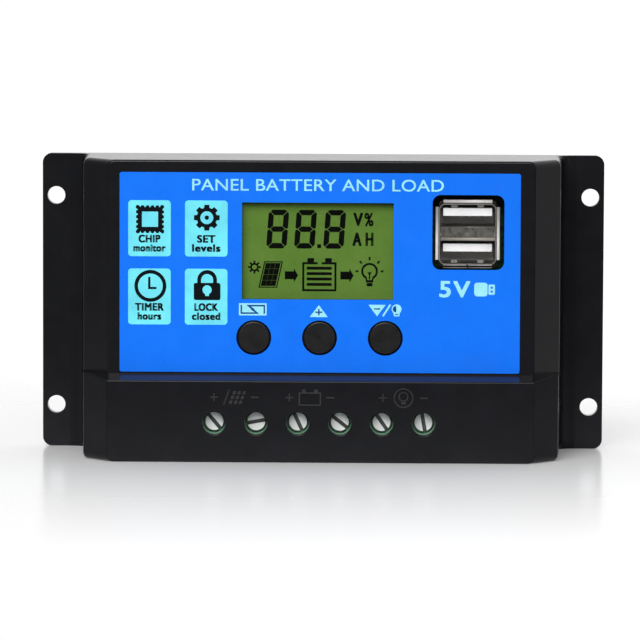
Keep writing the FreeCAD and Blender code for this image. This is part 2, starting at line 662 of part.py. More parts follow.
def build_usb():
    """Two stacked USB-A outlets facing the viewer: steel shell, white insulator with tongues, contacts."""
    centre_x = cell("usb_x")
    centre_z = cell("usb_z")
    half_x = cell("usb_width") / 2
    half_z = cell("usb_height") / 2
    thin = cell("usb_wall")
    front = cell("usb_front")
    x = (centre_x - half_x, centre_x + half_x)
    z = (centre_z - half_z, centre_z + half_z)
    inner_x = (x[0] + thin, x[1] - thin)
    lip_back = front - cell("usb_lip_depth")
    outer = slab("usb_outer", x, (board_front, front - 0.2), z)
    rounded = rounded_slab("usb_outer_rounded", outer, cell("usb_round"))
    lip_x = cell("usb_lip_width") / 2
    lip_z = cell("usb_lip_height") / 2
    lip = cell("usb_lip_thickness")
    spread_x = half_x - 1.0
    spread_z = half_z - 1.4
    lips = [
        slab("usb_lip_top", (centre_x - spread_x, centre_x + spread_x), (lip_back, front),
             (centre_z + lip_z - lip, centre_z + lip_z)),
        slab("usb_lip_bottom", (centre_x - spread_x, centre_x + spread_x), (lip_back, front),
             (centre_z - lip_z, centre_z - lip_z + lip)),
        slab("usb_lip_left", (centre_x - lip_x, centre_x - lip_x + lip + 0.1), (lip_back, front),
             (centre_z - spread_z, centre_z + spread_z)),
        slab("usb_lip_right", (centre_x + lip_x - lip - 0.1, centre_x + lip_x), (lip_back, front),
             (centre_z - spread_z, centre_z + spread_z)),
    ]
    divider = cell("usb_divider") / 2
    divider_z = (cell("usb_divider_z") - divider, cell("usb_divider_z") + divider)
    mouth = front + BREAKTHROUGH
    hollow_depth = (board_front + 1.0, mouth)
    upper = slab("usb_upper_hollow", inner_x, hollow_depth, (divider_z[1] - thin, z[1] - thin))
    lower = slab("usb_lower_hollow", inner_x, hollow_depth, (z[0] + thin, divider_z[0] + thin))
    middle = slab("usb_divider_hollow", (inner_x[0] + 0.6, inner_x[1] - 0.6), (board_front - 1, front - 1.4),
                  (divider_z[0] + thin * 2, divider_z[1] - thin * 2))
    blank = fuse("usb_blank", [rounded] + lips)
    shell = cut("usb_shell", blank, [upper, lower, middle])

    fit = 0.05
    base_depth = (board_front + 1.0, board_front + 4.6)
    half_tongue = cell("tongue_width") / 2
    pieces = []
    contacts = []
    floors = ((divider_z[1] - thin + fit, z[1] - thin - fit), (z[0] + thin + fit, divider_z[0] + thin - fit))
    tongues = (cell("tongue_upper_z"), cell("tongue_lower_z"))
    for index, (floor_z, tongue_z) in enumerate(zip(floors, tongues)):
        half_thick = cell("tongue_thickness") / 2
        base = slab(f"usb_base_{index}", (inner_x[0] + fit, inner_x[1] - fit), base_depth, floor_z)
        tongue = slab(f"usb_tongue_{index}", (centre_x - half_tongue, centre_x + half_tongue),
                      (base_depth[0], cell("tongue_front")), (tongue_z - half_thick, tongue_z + half_thick))
        pieces.append(fuse(f"usb_insulator_{index}", [base, tongue]))
        under = tongue_z - half_thick
        half_contact = cell("usb_contact_half")
        for track in range(4):
            track_x = centre_x + cell("usb_contact_pitch") * (track - 1.5)
            span = (track_x - half_contact, track_x + half_contact)
            contacts.append(slab(f"usb_contact_{index}_{track}", span,
                                 (base_depth[1], cell("tongue_front") - 1.0),
                                 (under - cell("usb_contact_thickness"), under)))
    return [shell, group("usb_insulators", pieces), group("usb_contacts", contacts)]


# ---- the terminal block ----

def build_terminal_housing():
    """Six green one-pole modules side by side, each with a cage pocket, a wire entry and a screw well."""
    body = new_body("terminal_housing")
    body.AllowCompound = True
    pole_z = cell("pole_z")
    fit = cell("cage_fit")
    sketch = new_sketch(body, "block_outline", "XZ_Plane", board_front)
    half_module = cell("module_half")
    for index in range(6):
        x = pole_x(index)
        draw_box(sketch, (x - half_module, x + half_module), (cell("block_low"), cell("block_high")))
    extrude(body, "Pad", "block", sketch, cell("block_front") - board_front)
    half_cage = cell("cage_half") + fit
    pocket_z = (pole_z - cell("cage_depth") / 2 - fit, pole_z + cell("cage_depth") / 2 + fit)
    pocket_top = cell("cage_front") + cell("cage_travel") + 0.3
    pocket_floor = cell("cage_back") - 0.4
    entry_half = cell("cage_inner_half") + 0.3

    def pockets(name, depth_top, depth_floor, draw):
        sketch = new_sketch(body, f"{name}_sketch", "XZ_Plane", depth_top)
        for index in range(6):
            draw(sketch, pole_x(index))
        extrude(body, "Pocket", name, sketch, depth_top - depth_floor)

    pockets("cage_pockets", pocket_top, pocket_floor,
            lambda sketch, x: draw_box(sketch, (x - half_cage, x + half_cage), pocket_z))
    pockets("wire_entries", cell("bar_back") + 0.1, cell("cage_inner_back") - 0.3,
            lambda sketch, x: draw_box(sketch, (x - entry_half, x + entry_half),
                                       (cell("block_low") - BREAKTHROUGH, pocket_z[0] + 0.2)))
    bar = cell("bar_half") + 0.1
    leg_top = cell("leg_z") + 0.8
    pockets("contact_slots", cell("bar_back") + cell("bar_thickness") + 0.1, board_front - BREAKTHROUGH,
            lambda sketch, x: draw_box(sketch, (x - bar, x + bar), (pocket_z[1] - 0.2, leg_top)))
    head_back = cell("head_front") - cell("head_height")
    pockets("screw_holes", head_back + BREAKTHROUGH, pocket_top - 0.2,
            lambda sketch, x: draw_circle(sketch, x, pole_z, cell("shank_radius") + 0.15))
    pockets("screw_wells", cell("block_front") + BREAKTHROUGH, head_back,
            lambda sketch, x: draw_circle(sketch, x, pole_z, cell("head_radius") + cell("well_gap")))

    def well_rim(edge):
        return is_closed(edge) and near(-edge.CenterOfMass.y, cell("block_front"), 0.02)

    round_edges(body, "well_rims", 0.3, well_rim, "Chamfer")
    return body


def build_terminal_screw(index, angle):
    """A slotted clamping screw that turns in place, with its slot at an angle from horizontal."""
    name = f"terminal_screw_{index + 1}"
    x = pole_x(index)
    z = cell("pole_z")
    body = new_body(name)
    head_back = cell("head_front") - cell("head_height")
    sketch = new_sketch(body, f"{name}_shank_circle", "XZ_Plane", cell("shank_tip"))
    draw_circle(sketch, x, z, cell("shank_radius"))
    extrude(body, "Pad", f"{name}_shank", sketch, head_back - cell("shank_tip") + 0.5)
    sketch = new_sketch(body, f"{name}_head_circle", "XZ_Plane", head_back)
    draw_circle(sketch, x, z, cell("head_radius"))
    extrude(body, "Pad", f"{name}_head", sketch, cell("head_height"))

    def front_rim(edge):
        return near(-edge.CenterOfMass.y, cell("head_front"), 0.01)

    round_edges(body, f"{name}_rim", 0.2, front_rim)
    sketch = new_sketch(body, f"{name}_slot_outline", "XZ_Plane", cell("head_front") + 0.5)
    reach = cell("head_radius") + 0.4
    half_slot = cell("slot_width") / 2
    cosine = math.cos(math.radians(angle))
    sine = math.sin(math.radians(angle))
    corners = [(reach, half_slot), (-reach, half_slot), (-reach, -half_slot), (reach, -half_slot)]
    draw_outline(sketch, [(x + u * cosine - v * sine, z + u * sine + v * cosine) for u, v in corners])
    extrude(body, "Pocket", f"{name}_slot", sketch, cell("slot_depth") + 0.5)
    return body


def build_clamp_cage(index):
    """The steel cage that the screw lifts towards its head, pressing the wire against the contact bar."""
    name = f"clamp_cage_{index + 1}"
    x = pole_x(index)
    z = cell("pole_z")
    body = new_body(name)
    half = cell("cage_half")
    half_deep = cell("cage_depth") / 2
    inner = cell("cage_inner_half")
    sketch = new_sketch(body, f"{name}_outline", "XY_Plane", z - half_deep)
    draw_box(sketch, (x - half, x + half), (-1 * cell("cage_front"), -1 * cell("cage_back")))
    draw_box(sketch, (x - inner, x + inner), (-1 * cell("cage_inner_front"), -1 * cell("cage_inner_back")))
    extrude(body, "Pad", f"{name}_ring", sketch, cell("cage_depth"))
    sketch = new_sketch(body, f"{name}_thread_circle", "XZ_Plane", cell("cage_front") + BREAKTHROUGH)
    draw_circle(sketch, x, z, cell("shank_radius") + cell("shank_fit"))
    extrude(body, "Pocket", f"{name}_thread", sketch,
            cell("cage_front") - cell("cage_inner_front") + 2 * BREAKTHROUGH)
    return body


PIN_HALF = 1.0


def build_terminal_contacts():
    """One tinned copper angle for each pole: the bar in the cage and the leg soldered to the board."""
    contacts = []
    bar_front = cell("bar_back") + cell("bar_thickness")
    low = cell("pole_z") - cell("cage_depth") / 2
    leg_z = (cell("leg_z") - 0.5, cell("leg_z") + 0.7)
    for index in range(6):
        x = (pole_x(index) - cell("bar_half"), pole_x(index) + cell("bar_half"))
        bar = slab(f"contact_bar_{index}", x, (cell("bar_back"), bar_front), (low, leg_z[1]))
        leg = slab(f"contact_leg_{index}", x, (board_front, bar_front), leg_z)
        pin_x = (pole_x(index) - PIN_HALF, pole_x(index) + PIN_HALF)
        pin = slab(f"contact_pin_{index}", pin_x, (cell("board_back") - 1, bar_front), leg_z)
        contacts.append(fuse(f"contact_{index}", [bar, leg, pin]))
    return group("terminal_contacts", contacts)


# ---- the circuit board and what it carries ----

standoff_places = [(cell(f"{row}_hole_x") * sx, cell(f"{row}_hole_z")) for sx in SIDES
                   for row in ("low", "high")]
plate_front = cell("plate_setback") + cell("plate_thickness")
pad_front = plate_front + cell("pad_thickness")


def build_main_board():
    body = new_body("main_board")
    sketch = new_sketch(body, "board_outline", "XZ_Plane", cell("board_back"))
    half = cell("board_half")
    draw_box(sketch, (-half, half), (cell("board_low"), cell("board_high")))
    extrude(body, "Pad", "board", sketch, cell("board_thickness"))
    sketch = new_sketch(body, "board_circles", "XZ_Plane", board_front + BREAKTHROUGH)
    for x, z in standoff_places:
        draw_circle(sketch, x, z, cell("board_hole"))
    extrude(body, "Pocket", "board_holes", sketch, cell("board_thickness") + 2 * BREAKTHROUGH)
    sketch = new_sketch(body, "board_slots", "XZ_Plane", board_front + BREAKTHROUGH)
    for index in range(6):
        x = pole_x(index)
        slot_half = PIN_HALF + 0.1
        draw_box(sketch, (x - slot_half, x + slot_half), (cell("leg_z") - 0.6, cell("leg_z") + 0.8))
    for index in range(3):
        for sx in SIDES:
            x = button_centre(index) + (cell("switch_side") + cell("leg_thickness")) / 2 * sx
            for sz in SIDES:
                draw_circle(sketch, x, cell("button_z") + cell("leg_level") * sz, cell("leg_half") + 0.1)
    for index in range(LCD_PINS):
        draw_circle(sketch, lcd_pin_x(index), lcd_pin_z, cell("lcd_pin") + 0.08)
    extrude(body, "Pocket", "board_pin_holes", sketch, cell("board_thickness") + 2 * BREAKTHROUGH)
    return body


def build_board_fixings():
    """Hexagonal pillars on the back plate, and the screws that hold the board on them."""
    standoffs = []
    screws = []
    shank_radius = cell("machine_shank")
    for index, (x, z) in enumerate(standoff_places):
        prism = doc.addObject("Part::Prism", f"standoff_prism_{index}")
        prism.Polygon = 6
        bind(prism, "Circumradius", cell("hex_radius"))
        bind(prism, "Height", cell("board_back") - plate_front)
        place(prism, x, -1 * plate_front, z, TOWARDS_VIEWER)
        tapped_depth = (cell("board_back") - 6, board_front)
        tapped = rod(f"standoff_hole_{index}", x, z, tapped_depth, shank_radius + 0.01)
        standoffs.append(cut(f"standoff_{index}", prism, [tapped]))
        head_top = board_front + cell("machine_head_height")
        shank_depth = (cell("board_back") - 5, board_front + 0.1)
        shank = rod(f"board_screw_shank_{index}", x, z, shank_depth, shank_radius)
        head = rod(f"board_screw_head_{index}", x, z, (board_front, head_top), cell("machine_head"))
        recess = cross_recess(f"board_screw_{index}", x, z, (head_top - 0.9, head_top + 0.6), 1.5)
        blank = fuse(f"board_screw_blank_{index}", [shank, head])
        screws.append(cut(f"board_screw_{index}", blank, recess))
    return [group("board_standoffs", standoffs), group("board_screws", screws)]


def build_power_stage():
    """Four TO-220 transistors lying on an insulating pad against the back plate."""
    half = cell("power_half")
    tab_front = pad_front + cell("tab_thickness")
    lead_depth = (pad_front + cell("lead_height"), pad_front + cell("lead_height") + cell("lead_thickness"))
    lead_end = cell("tab_low") - cell("lead_reach")
    hole_z = cell("tab_hole_z")
    pad = slab("thermal_pad", (-cell("pad_half"), cell("pad_half")), (plate_front, pad_front),
               (cell("pad_low"), cell("pad_high")))
    epoxy = []
    tabs = []
    screws = []
    for index in range(4):
        x = cell("power_first") + cell("power_pitch") * index
        tab = slab(f"tab_plate_{index}", (x - half, x + half), (pad_front, tab_front),
                   (cell("tab_low"), cell("tab_high")))
        hole = rod(f"tab_hole_{index}", x, hole_z, (plate_front, tab_front + BREAKTHROUGH), cell("tab_hole"))
        tabs.append(cut(f"tab_{index}", tab, [hole]))
        sockets = []
        for lead in (-1, 0, 1):
            lead_x = x + cell("lead_pitch") * lead
            span = (lead_x - cell("lead_half"), lead_x + cell("lead_half"))
            name = f"{index}_{lead}"
            flat = slab(f"lead_flat_{name}", span, lead_depth, (lead_end, cell("tab_low") + 0.1))
            rise = slab(f"lead_rise_{name}", span, (lead_depth[0], cell("board_back")),
                        (lead_end, lead_end + cell("lead_thickness")))
            tabs.append(fuse(f"bent_lead_{name}", [flat, rise]))
            sockets.append(slab(f"lead_socket_{name}", span, lead_depth,
                                (cell("tab_low") - 0.5, cell("tab_low") + 0.1)))
        case = slab(f"epoxy_{index}", (x - half, x + half), (tab_front, pad_front + cell("epoxy_height")),
                    (cell("tab_low"), cell("epoxy_high")))
        epoxy.append(cut(f"transistor_{index}", case, sockets))
        head_top = tab_front + 2.0
        head = rod(f"tab_screw_head_{index}", x, hole_z, (tab_front, head_top), cell("machine_head") + 0.1)
        recess = cross_recess(f"tab_screw_{index}", x, hole_z, (head_top - 1.0, head_top + 0.7), 1.6)
        screws.append(cut(f"tab_screw_{index}", head, recess))
    return [pad, group("power_transistors", epoxy), group("transistor_tabs", tabs),
            group("transistor_screws", screws)]


SMALL_CAN_PLACES = ((25.5, 6.5), (32.5, 6.5), (-25.5, -13.5))


def build_capacitors():
    """Two large cans with a crimp groove near the board, and three small ones."""
    large = []
    for name in ("upper", "lower"):
        z = cell(f"can_{name}_z")
        can = rod(f"can_{name}", cell("can_x"), z, (board_front, board_front + cell("can_height")),
                  cell("can_radius"))
        groove = doc.addObject("Part::Torus", f"can_groove_{name}")
        bind(groove, "Radius1", cell("can_radius") + cell("can_groove") / 2)
        bind(groove, "Radius2", cell("can_groove"))
        place(groove, cell("can_x"), -1 * (board_front + 1.6), z, TOWARDS_VIEWER)
        large.append(cut(f"large_can_{name}", can, [groove]))
    small = [rod(f"small_can_{index}", x, z, (board_front, board_front + cell("small_can_height")),
                 cell("small_can_radius")) for index, (x, z) in enumerate(SMALL_CAN_PLACES)]
    return [group("large_capacitors", large), group("small_capacitors", small)]


def build_inductor():
    """The USB converter's shielded inductor: a square ferrite with a wound drum in its round window."""
    x = cell("inductor_x")
    z = cell("inductor_z")
    half = cell("inductor_half")
    top = board_front + cell("inductor_height")
    floor = board_front + 1.2
    drum_radius = cell("drum_radius")
    ferrite = slab("inductor_block", (x - half, x + half), (board_front, top), (z - half, z + half))
    window = rod("inductor_window", x, z, (floor, top + BREAKTHROUGH), cell("inductor_window"))
    drum = rod("inductor_drum", x, z, (floor, top - 0.3), drum_radius)
    coil_depth = (board_front + cell("coil_low"), board_front + cell("coil_high"))
    coil_outer = rod("coil_outer", x, z, coil_depth, cell("coil_radius"))
    coil_inner = rod("coil_inner", x, z, (board_front, top), drum_radius + 0.1)
    core = fuse("usb_inductor_core", [cut("inductor_frame", ferrite, [window]), drum])
    return [core, cut("usb_inductor_coil", coil_outer, [coil_inner])]


def chip(name, centre, size, pins, pitch):
    """A gull-wing chip with pins above and below: its moulded body, and its pins as separate solids."""
    x, z = centre
    width, height = size
    case = slab(name, (x - width / 2, x + width / 2),
                (board_front + cell("chip_lift"), board_front + cell("chip_height")),
                (z - height / 2, z + height / 2))
    feet = []
    foot = cell("chip_foot")
    depth = (board_front, board_front + cell("chip_foot_thickness"))
    edge_low = z - height / 2
    edge_high = z + height / 2
    for side, edge in (("low", (edge_low - foot, edge_low)), ("high", (edge_high, edge_high + foot))):
        for index in range(pins):
            along = x + pitch * (index - (pins - 1) / 2)
            span = (along - pitch * 0.2, along + pitch * 0.2)
            feet.append(slab(f"{name}_pin_{side}_{index}", span, depth, edge))
    return case, feet


LOGIC_CENTRE = (-3.0, 14.0)
LOGIC_SIZE = (10.0, 10.0)
REGULATOR_CENTRE = (22.0, -7.5)
REGULATOR_SIZE = (5.0, 4.0)


def build_chips():
    """The microcontroller, the USB regulator and the clock crystal."""
    logic, logic_pins = chip("microcontroller", LOGIC_CENTRE, LOGIC_SIZE, 11, 0.8)
    regulator, regulator_pins = chip("usb_regulator", REGULATOR_CENTRE, REGULATOR_SIZE, 4, 1.27)
    x = cell("crystal_x")
    z = cell("crystal_z")
    can = slab("crystal_can", (x - cell("crystal_half_x"), x + cell("crystal_half_x")),
               (board_front, board_front + cell("crystal_height")),
               (z - cell("crystal_half_z"), z + cell("crystal_half_z")))
    crystal = rounded_slab("crystal", can, cell("crystal_round"))
    return [logic, regulator, crystal, group("chip_pins", logic_pins + regulator_pins)]


def lying_rod(name, start, length, radius):
    """A cylinder along X, at the height of the diodes' axis above the board."""
    cylinder = doc.addObject("Part::Cylinder", name)
    bind(cylinder, "Radius", radius)
    bind(cylinder, "Height", length)
    axis_depth = board_front + cell("diode_lift")
    place(cylinder, start, -1 * axis_depth, cell("diode_z"), Rotation(Vector(0, 1, 0), 90))
    return cylinder


DIODE_CENTRES = (-15.0, 10.0)


def build_small_parts():
    """Diodes, the current shunt, chip resistors and chip capacitors."""
    diodes = []
    leads = []
    wire = cell("diode_wire")
    reach = cell("diode_reach")
    half = cell("diode_half")
    for index, x in enumerate(DIODE_CENTRES):
        diodes.append(lying_rod(f"diode_{index}", x - half, half * 2, cell("diode_radius")))
        ends = (("head", x + half, x + reach), ("tail", x - reach - 0.4, x - reach))
        for end, start, drop_x in ends:
            run = lying_rod(f"diode_wire_{end}_{index}", start, reach + 0.4 - half, wire)
            drop = rod(f"diode_drop_{end}_{index}", drop_x, cell("diode_z"),
                       (board_front, board_front + cell("diode_lift") + 0.5), wire)
            leads.append(fuse(f"diode_lead_{end}_{index}", [run, drop]))
    x = cell("shunt_x")
    half = cell("shunt_half")
    inner = half - cell("shunt_bar")
    arch_top = board_front + cell("shunt_height")
    arch = slab("shunt_arch", (x - half, x + half), (board_front, arch_top),
                (cell("shunt_low"), cell("shunt_high")))
    under = slab("shunt_under", (x - inner, x + inner),
                 (board_front - BREAKTHROUGH, arch_top - cell("shunt_roof")),
                 (cell("shunt_low") - BREAKTHROUGH, cell("shunt_high") + BREAKTHROUGH))
    shunt = cut("current_shunt", arch, [under])

    def row_of_chips(name, count):
        half_length = cell(f"{name}_length") / 2
        z = (cell(f"{name}_low"), cell(f"{name}_low") + cell(f"{name}_width"))
        depth = (board_front, board_front + cell(f"{name}_height"))
        row = []
        for index in range(count):
            middle = cell(f"{name}_first") + cell(f"{name}_pitch") * index
            row.append(slab(f"{name}_{index}", (middle - half_length, middle + half_length), depth, z))
        return row

    return [group("power_diodes", diodes), group("diode_leads", leads), shunt,
            group("chip_resistors", row_of_chips("resistor", 10)),
            group("chip_capacitors", row_of_chips("ceramic", 6))]


SLOT_ANGLES = (-50.0, 10.0, -65.0, -38.0, -55.0, -80.0)

nodes = [build_front_shell(), build_back_plate(), build_back_plate_screws(), build_label_film()]
for button in range(3):
    nodes.append(build_button_cap(button))
    nodes.append(build_switch_plunger(button))
nodes += [build_switch_bodies(), build_switch_covers()]
nodes += build_display()
nodes += build_usb()
nodes.append(build_terminal_housing())
for pole, slot_angle in enumerate(SLOT_ANGLES):
    nodes.append(build_terminal_screw(pole, slot_angle))
    nodes.append(build_clamp_cage(pole))
nodes.append(build_terminal_contacts())
nodes.append(build_main_board())
nodes += build_board_fixings()
nodes += build_power_stage()
nodes += build_capacitors()
nodes += build_inductor()
nodes += build_chips()
nodes += build_small_parts()
doc.recompute()

for item in doc.Objects:
    if "Invalid" in item.State or "Error" in item.State:
        raise RuntimeError(f"{item.Label} is {item.State}")
os.makedirs("parts", exist_ok=True)
for node in nodes:
    if node.Shape.isNull() or not node.Shape.isValid():
        raise RuntimeError(f"{node.Label} has a bad shape")
    node.Shape.exportStep(f"parts/{node.Label}.step")
    print(node.Label, len(node.Shape.Solids), round(node.Shape.Volume, 2))
print(len(nodes), "nodes")
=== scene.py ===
import json
import math

import bpy
from mathutils import Matrix, Vector


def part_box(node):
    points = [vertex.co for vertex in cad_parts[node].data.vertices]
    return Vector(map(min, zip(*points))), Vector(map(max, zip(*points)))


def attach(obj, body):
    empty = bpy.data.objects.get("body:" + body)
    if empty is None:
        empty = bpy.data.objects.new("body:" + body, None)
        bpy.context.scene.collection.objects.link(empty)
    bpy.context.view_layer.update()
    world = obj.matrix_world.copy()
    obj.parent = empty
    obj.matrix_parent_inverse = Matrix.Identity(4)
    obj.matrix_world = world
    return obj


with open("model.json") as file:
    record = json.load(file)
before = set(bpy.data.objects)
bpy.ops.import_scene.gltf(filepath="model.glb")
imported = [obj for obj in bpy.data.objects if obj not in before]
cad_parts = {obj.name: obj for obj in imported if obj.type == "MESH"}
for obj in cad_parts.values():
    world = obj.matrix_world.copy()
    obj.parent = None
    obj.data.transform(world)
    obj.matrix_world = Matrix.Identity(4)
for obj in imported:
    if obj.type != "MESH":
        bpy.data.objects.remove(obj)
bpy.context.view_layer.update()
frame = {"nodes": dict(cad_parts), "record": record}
MM = 0.001


# ---- procedural materials: colours are linear, sizes and depths in millimetres ----

# Painted shade in crevices, by how open a spot is, from 0 to 1: darkest below the first, its full colour
# above the second.
CREVICE_CLOSED = 0.56
CREVICE_OPEN = 0.82


class Shader:
    """A Principled material with helpers that add procedural colour, painted shade, roughness and relief.
    """

    def __init__(self, name, color, roughness, metallic=0.0, **fixed):
        self.material = bpy.data.materials.new(name)
        self.material.use_nodes = True
        self.tree = self.material.node_tree
        self.surface = self.tree.nodes["Principled BSDF"]
        self.surface.inputs["Base Color"].default_value = (*color, 1)
        self.surface.inputs["Roughness"].default_value = roughness
        self.surface.inputs["Metallic"].default_value = metallic
        for socket, value in fixed.items():
            self.surface.inputs[socket.replace("_", " ")].default_value = value
        self.color = color
        self.roughness = roughness
        self.place = self.tree.nodes.new("ShaderNodeTexCoord").outputs["Object"]
        self.bump = None

    def stretched(self, scale):
        """Object coordinates scaled unevenly, for grain that runs one way."""
        mapping = self.tree.nodes.new("ShaderNodeMapping")
        mapping.inputs["Scale"].default_value = scale
        self.tree.links.new(self.place, mapping.inputs["Vector"])
        return mapping.outputs["Vector"]

    def noise(self, size_mm, detail=3.0, vector=None):
        """Noise whose features are about size_mm across."""
        node = self.tree.nodes.new("ShaderNodeTexNoise")
        node.inputs["Scale"].default_value = 1 / (size_mm * MM)
        node.inputs["Detail"].default_value = detail
        self.tree.links.new(vector or self.place, node.inputs["Vector"])
        return node.outputs["Fac"]

    def ramp(self, value, low, high, start=0.3, end=0.7):
        """Maps value from start..end to low..high."""
        node = self.tree.nodes.new("ShaderNodeMapRange")
        node.inputs["From Min"].default_value = start
        node.inputs["From Max"].default_value = end
        node.inputs["To Min"].default_value = low
        node.inputs["To Max"].default_value = high
        self.tree.links.new(value, node.inputs["Value"])
        return node.outputs["Result"]

    def mix(self, factor, first, second):
        """A colour between first and second; each is a colour or another node's output."""
        node = self.tree.nodes.new("ShaderNodeMix")
        node.data_type = "RGBA"
        self.tree.links.new(factor, node.inputs["Factor"])
        for socket, value in ((node.inputs[6], first), (node.inputs[7], second)):
            if isinstance(value, tuple):
                socket.default_value = (*value, 1)
            else:
                self.tree.links.new(value, socket)
        return node.outputs[2]

    def paint(self, output):
        """Sets the colour from a node's output."""
        self.tree.links.new(output, self.surface.inputs["Base Color"])
        return self

    def mottle(self, size_mm, amount):
        """Varies the colour by the fraction amount each way."""
        dark = tuple(part * (1 - amount) for part in self.color)
        light = tuple(min(part * (1 + amount), 1) for part in self.color)
        return self.paint(self.mix(self.ramp(self.noise(size_mm), 0, 1), dark, light))

    def painted_crevice_shade(self, reach_mm, shade):
        """Paints shade into slots and corners within reach of another surface, darkening the colour there
        to a share of itself.
        """
        node = self.tree.nodes.new("ShaderNodeAmbientOcclusion")
        node.inputs["Distance"].default_value = reach_mm * MM
        open_part = self.ramp(node.outputs["AO"], 0, 1, CREVICE_CLOSED, CREVICE_OPEN)
        dark = tuple(part * shade for part in self.color)
        painted = self.surface.inputs["Base Color"].links[0].from_socket
        return self.paint(self.mix(open_part, dark, painted))

    def smudge(self, size_mm, amount, vector=None):
        """Varies the roughness by amount each way."""
        patches = self.noise(size_mm, vector=vector)
        value = self.ramp(patches, self.roughness - amount, self.roughness + amount)
        self.tree.links.new(value, self.surface.inputs["Roughness"])
        return self

    def relief(self, height, depth_mm, strength=1.0):
        """Adds a bump of the given depth on top of any earlier one."""
        node = self.tree.nodes.new("ShaderNodeBump")
        node.inputs["Strength"].default_value = strength
        node.inputs["Distance"].default_value = depth_mm * MM
        self.tree.links.new(height, node.inputs["Height"])
        if self.bump:
            self.tree.links.new(self.bump, node.inputs["Normal"])
        self.bump = node.outputs["Normal"]
        self.tree.links.new(self.bump, self.surface.inputs["Normal"])
        return self

    def grain(self, size_mm, depth_mm, strength=1.0, vector=None):
        """Adds a bump of noise."""
        return self.relief(self.noise(size_mm, vector=vector), depth_mm, strength)


def moulded(name, color, roughness, grain_mm=0.12, depth_mm=0.006, handling=0.05, wave_mm=0.012, **fixed):
    """Injection-moulded plastic: spark-eroded grain, slow waviness and handling marks."""
    shader = Shader(name, color, roughness, **fixed)
    shader.mottle(size_mm=6.0, amount=0.12).smudge(size_mm=3.0, amount=handling)
    shader.grain(grain_mm, depth_mm, strength=0.5)
    return shader.grain(size_mm=9.0, depth_mm=wave_mm, strength=0.3)


def metal(name, color, roughness, along=(1, 1, 1), depth_mm=0.003, metallic=1.0, **fixed):
    """Plated or drawn metal with streaks that run along one direction."""
    shader = Shader(name, color, roughness, metallic, **fixed)
    streaks = shader.stretched(along)
    shader.mottle(size_mm=2.0, amount=0.08).smudge(size_mm=0.8, amount=0.06, vector=streaks)
    return shader.grain(0.6, depth_mm, strength=0.35, vector=streaks)


def label_shader():
    """Blue ink under a satin polyester overlay, with a very fine print grain."""
    shader = Shader("label_blue", (0.0055, 0.181, 0.95), 0.30, Specular_IOR_Level=0.18)
    shader.mottle(size_mm=7.0, amount=0.035).smudge(size_mm=4.0, amount=0.04)
    shader.grain(size_mm=0.10, depth_mm=0.002, strength=0.4)
    return shader.grain(size_mm=14.0, depth_mm=0.03, strength=0.25)


def display_shader():
    """The olive field of the display, slightly uneven, with a painted shadow of the window's top edge
    darkening it towards its top.
    """
    shader = Shader("display_face", (0.102, 0.204, 0.030), 0.28, Specular_IOR_Level=0.2)
    patches = shader.ramp(shader.noise(size_mm=5.0), 0, 1)
    field = shader.mix(patches, (0.096, 0.198, 0.028), (0.112, 0.218, 0.034))
    # Painted shadow of the window's top edge: the field darkens over the top 4.4 mm of the glass, fully
    # over the top 2.2 mm.
    glass_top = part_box("lcd_glass")[1].z
    shade_starts, shade_full = glass_top - 4.4 * MM, glass_top - 2.2 * MM
    split = shader.tree.nodes.new("ShaderNodeSeparateXYZ")
    shader.tree.links.new(shader.place, split.inputs[0])
    painted_top_shadow = shader.ramp(split.outputs["Z"], 0, 1, shade_starts, shade_full)
    shader.paint(shader.mix(painted_top_shadow, field, (0.092, 0.184, 0.027)))
    shader.smudge(size_mm=2.0, amount=0.05)
    return shader.grain(size_mm=0.2, depth_mm=0.002, strength=0.3)


def board_shader():
    """Green solder mask over copper tracks, drawn by a brick pattern."""
    mask, track = (0.008, 0.085, 0.025), (0.020, 0.150, 0.045)
    shader = Shader("board_mask", mask, 0.32, Specular_IOR_Level=0.5)
    bricks = shader.tree.nodes.new("ShaderNodeTexBrick")
    bricks.inputs["Scale"].default_value = 130
    bricks.inputs["Mortar Size"].default_value = 0.06
    turned = shader.tree.nodes.new("ShaderNodeMapping")
    turned.inputs["Rotation"].default_value = (math.radians(90), 0, 0)
    shader.tree.links.new(shader.place, turned.inputs["Vector"])
    shader.tree.links.new(turned.outputs["Vector"], bricks.inputs["Vector"])
    shader.paint(shader.mix(bricks.outputs["Fac"], mask, track))
    shader.smudge(size_mm=3.0, amount=0.06)
    shader.relief(bricks.outputs["Fac"], depth_mm=0.03, strength=0.6)
    return shader.grain(size_mm=0.3, depth_mm=0.003, strength=0.4)


def sleeve_shader():
    """A can's shrunk sleeve, dark blue with slight folds."""
    shader = Shader("can_sleeve", (0.010, 0.013, 0.040), 0.28, Specular_IOR_Level=0.5)
    shader.mottle(size_mm=2.0, amount=0.15).smudge(size_mm=1.5, amount=0.06)
    folds = shader.stretched((1, 0.2, 1))
    return shader.grain(size_mm=1.8, depth_mm=0.04, strength=0.4, vector=folds)


def winding_shader():
    """Enamelled copper wire wound round the drum."""
    shader = Shader("winding", (0.55, 0.19, 0.06), 0.30, metallic=0.9)
    waves = shader.tree.nodes.new("ShaderNodeTexWave")
    waves.bands_direction = "Y"
    waves.inputs["Scale"].default_value = 900
    waves.inputs["Distortion"].default_value = 1.5
    shader.tree.links.new(shader.place, waves.inputs["Vector"])
    shader.paint(shader.mix(waves.outputs["Fac"], (0.30, 0.09, 0.03), (0.62, 0.24, 0.08)))
    return shader.relief(waves.outputs["Fac"], depth_mm=0.15).smudge(size_mm=0.8, amount=0.06)


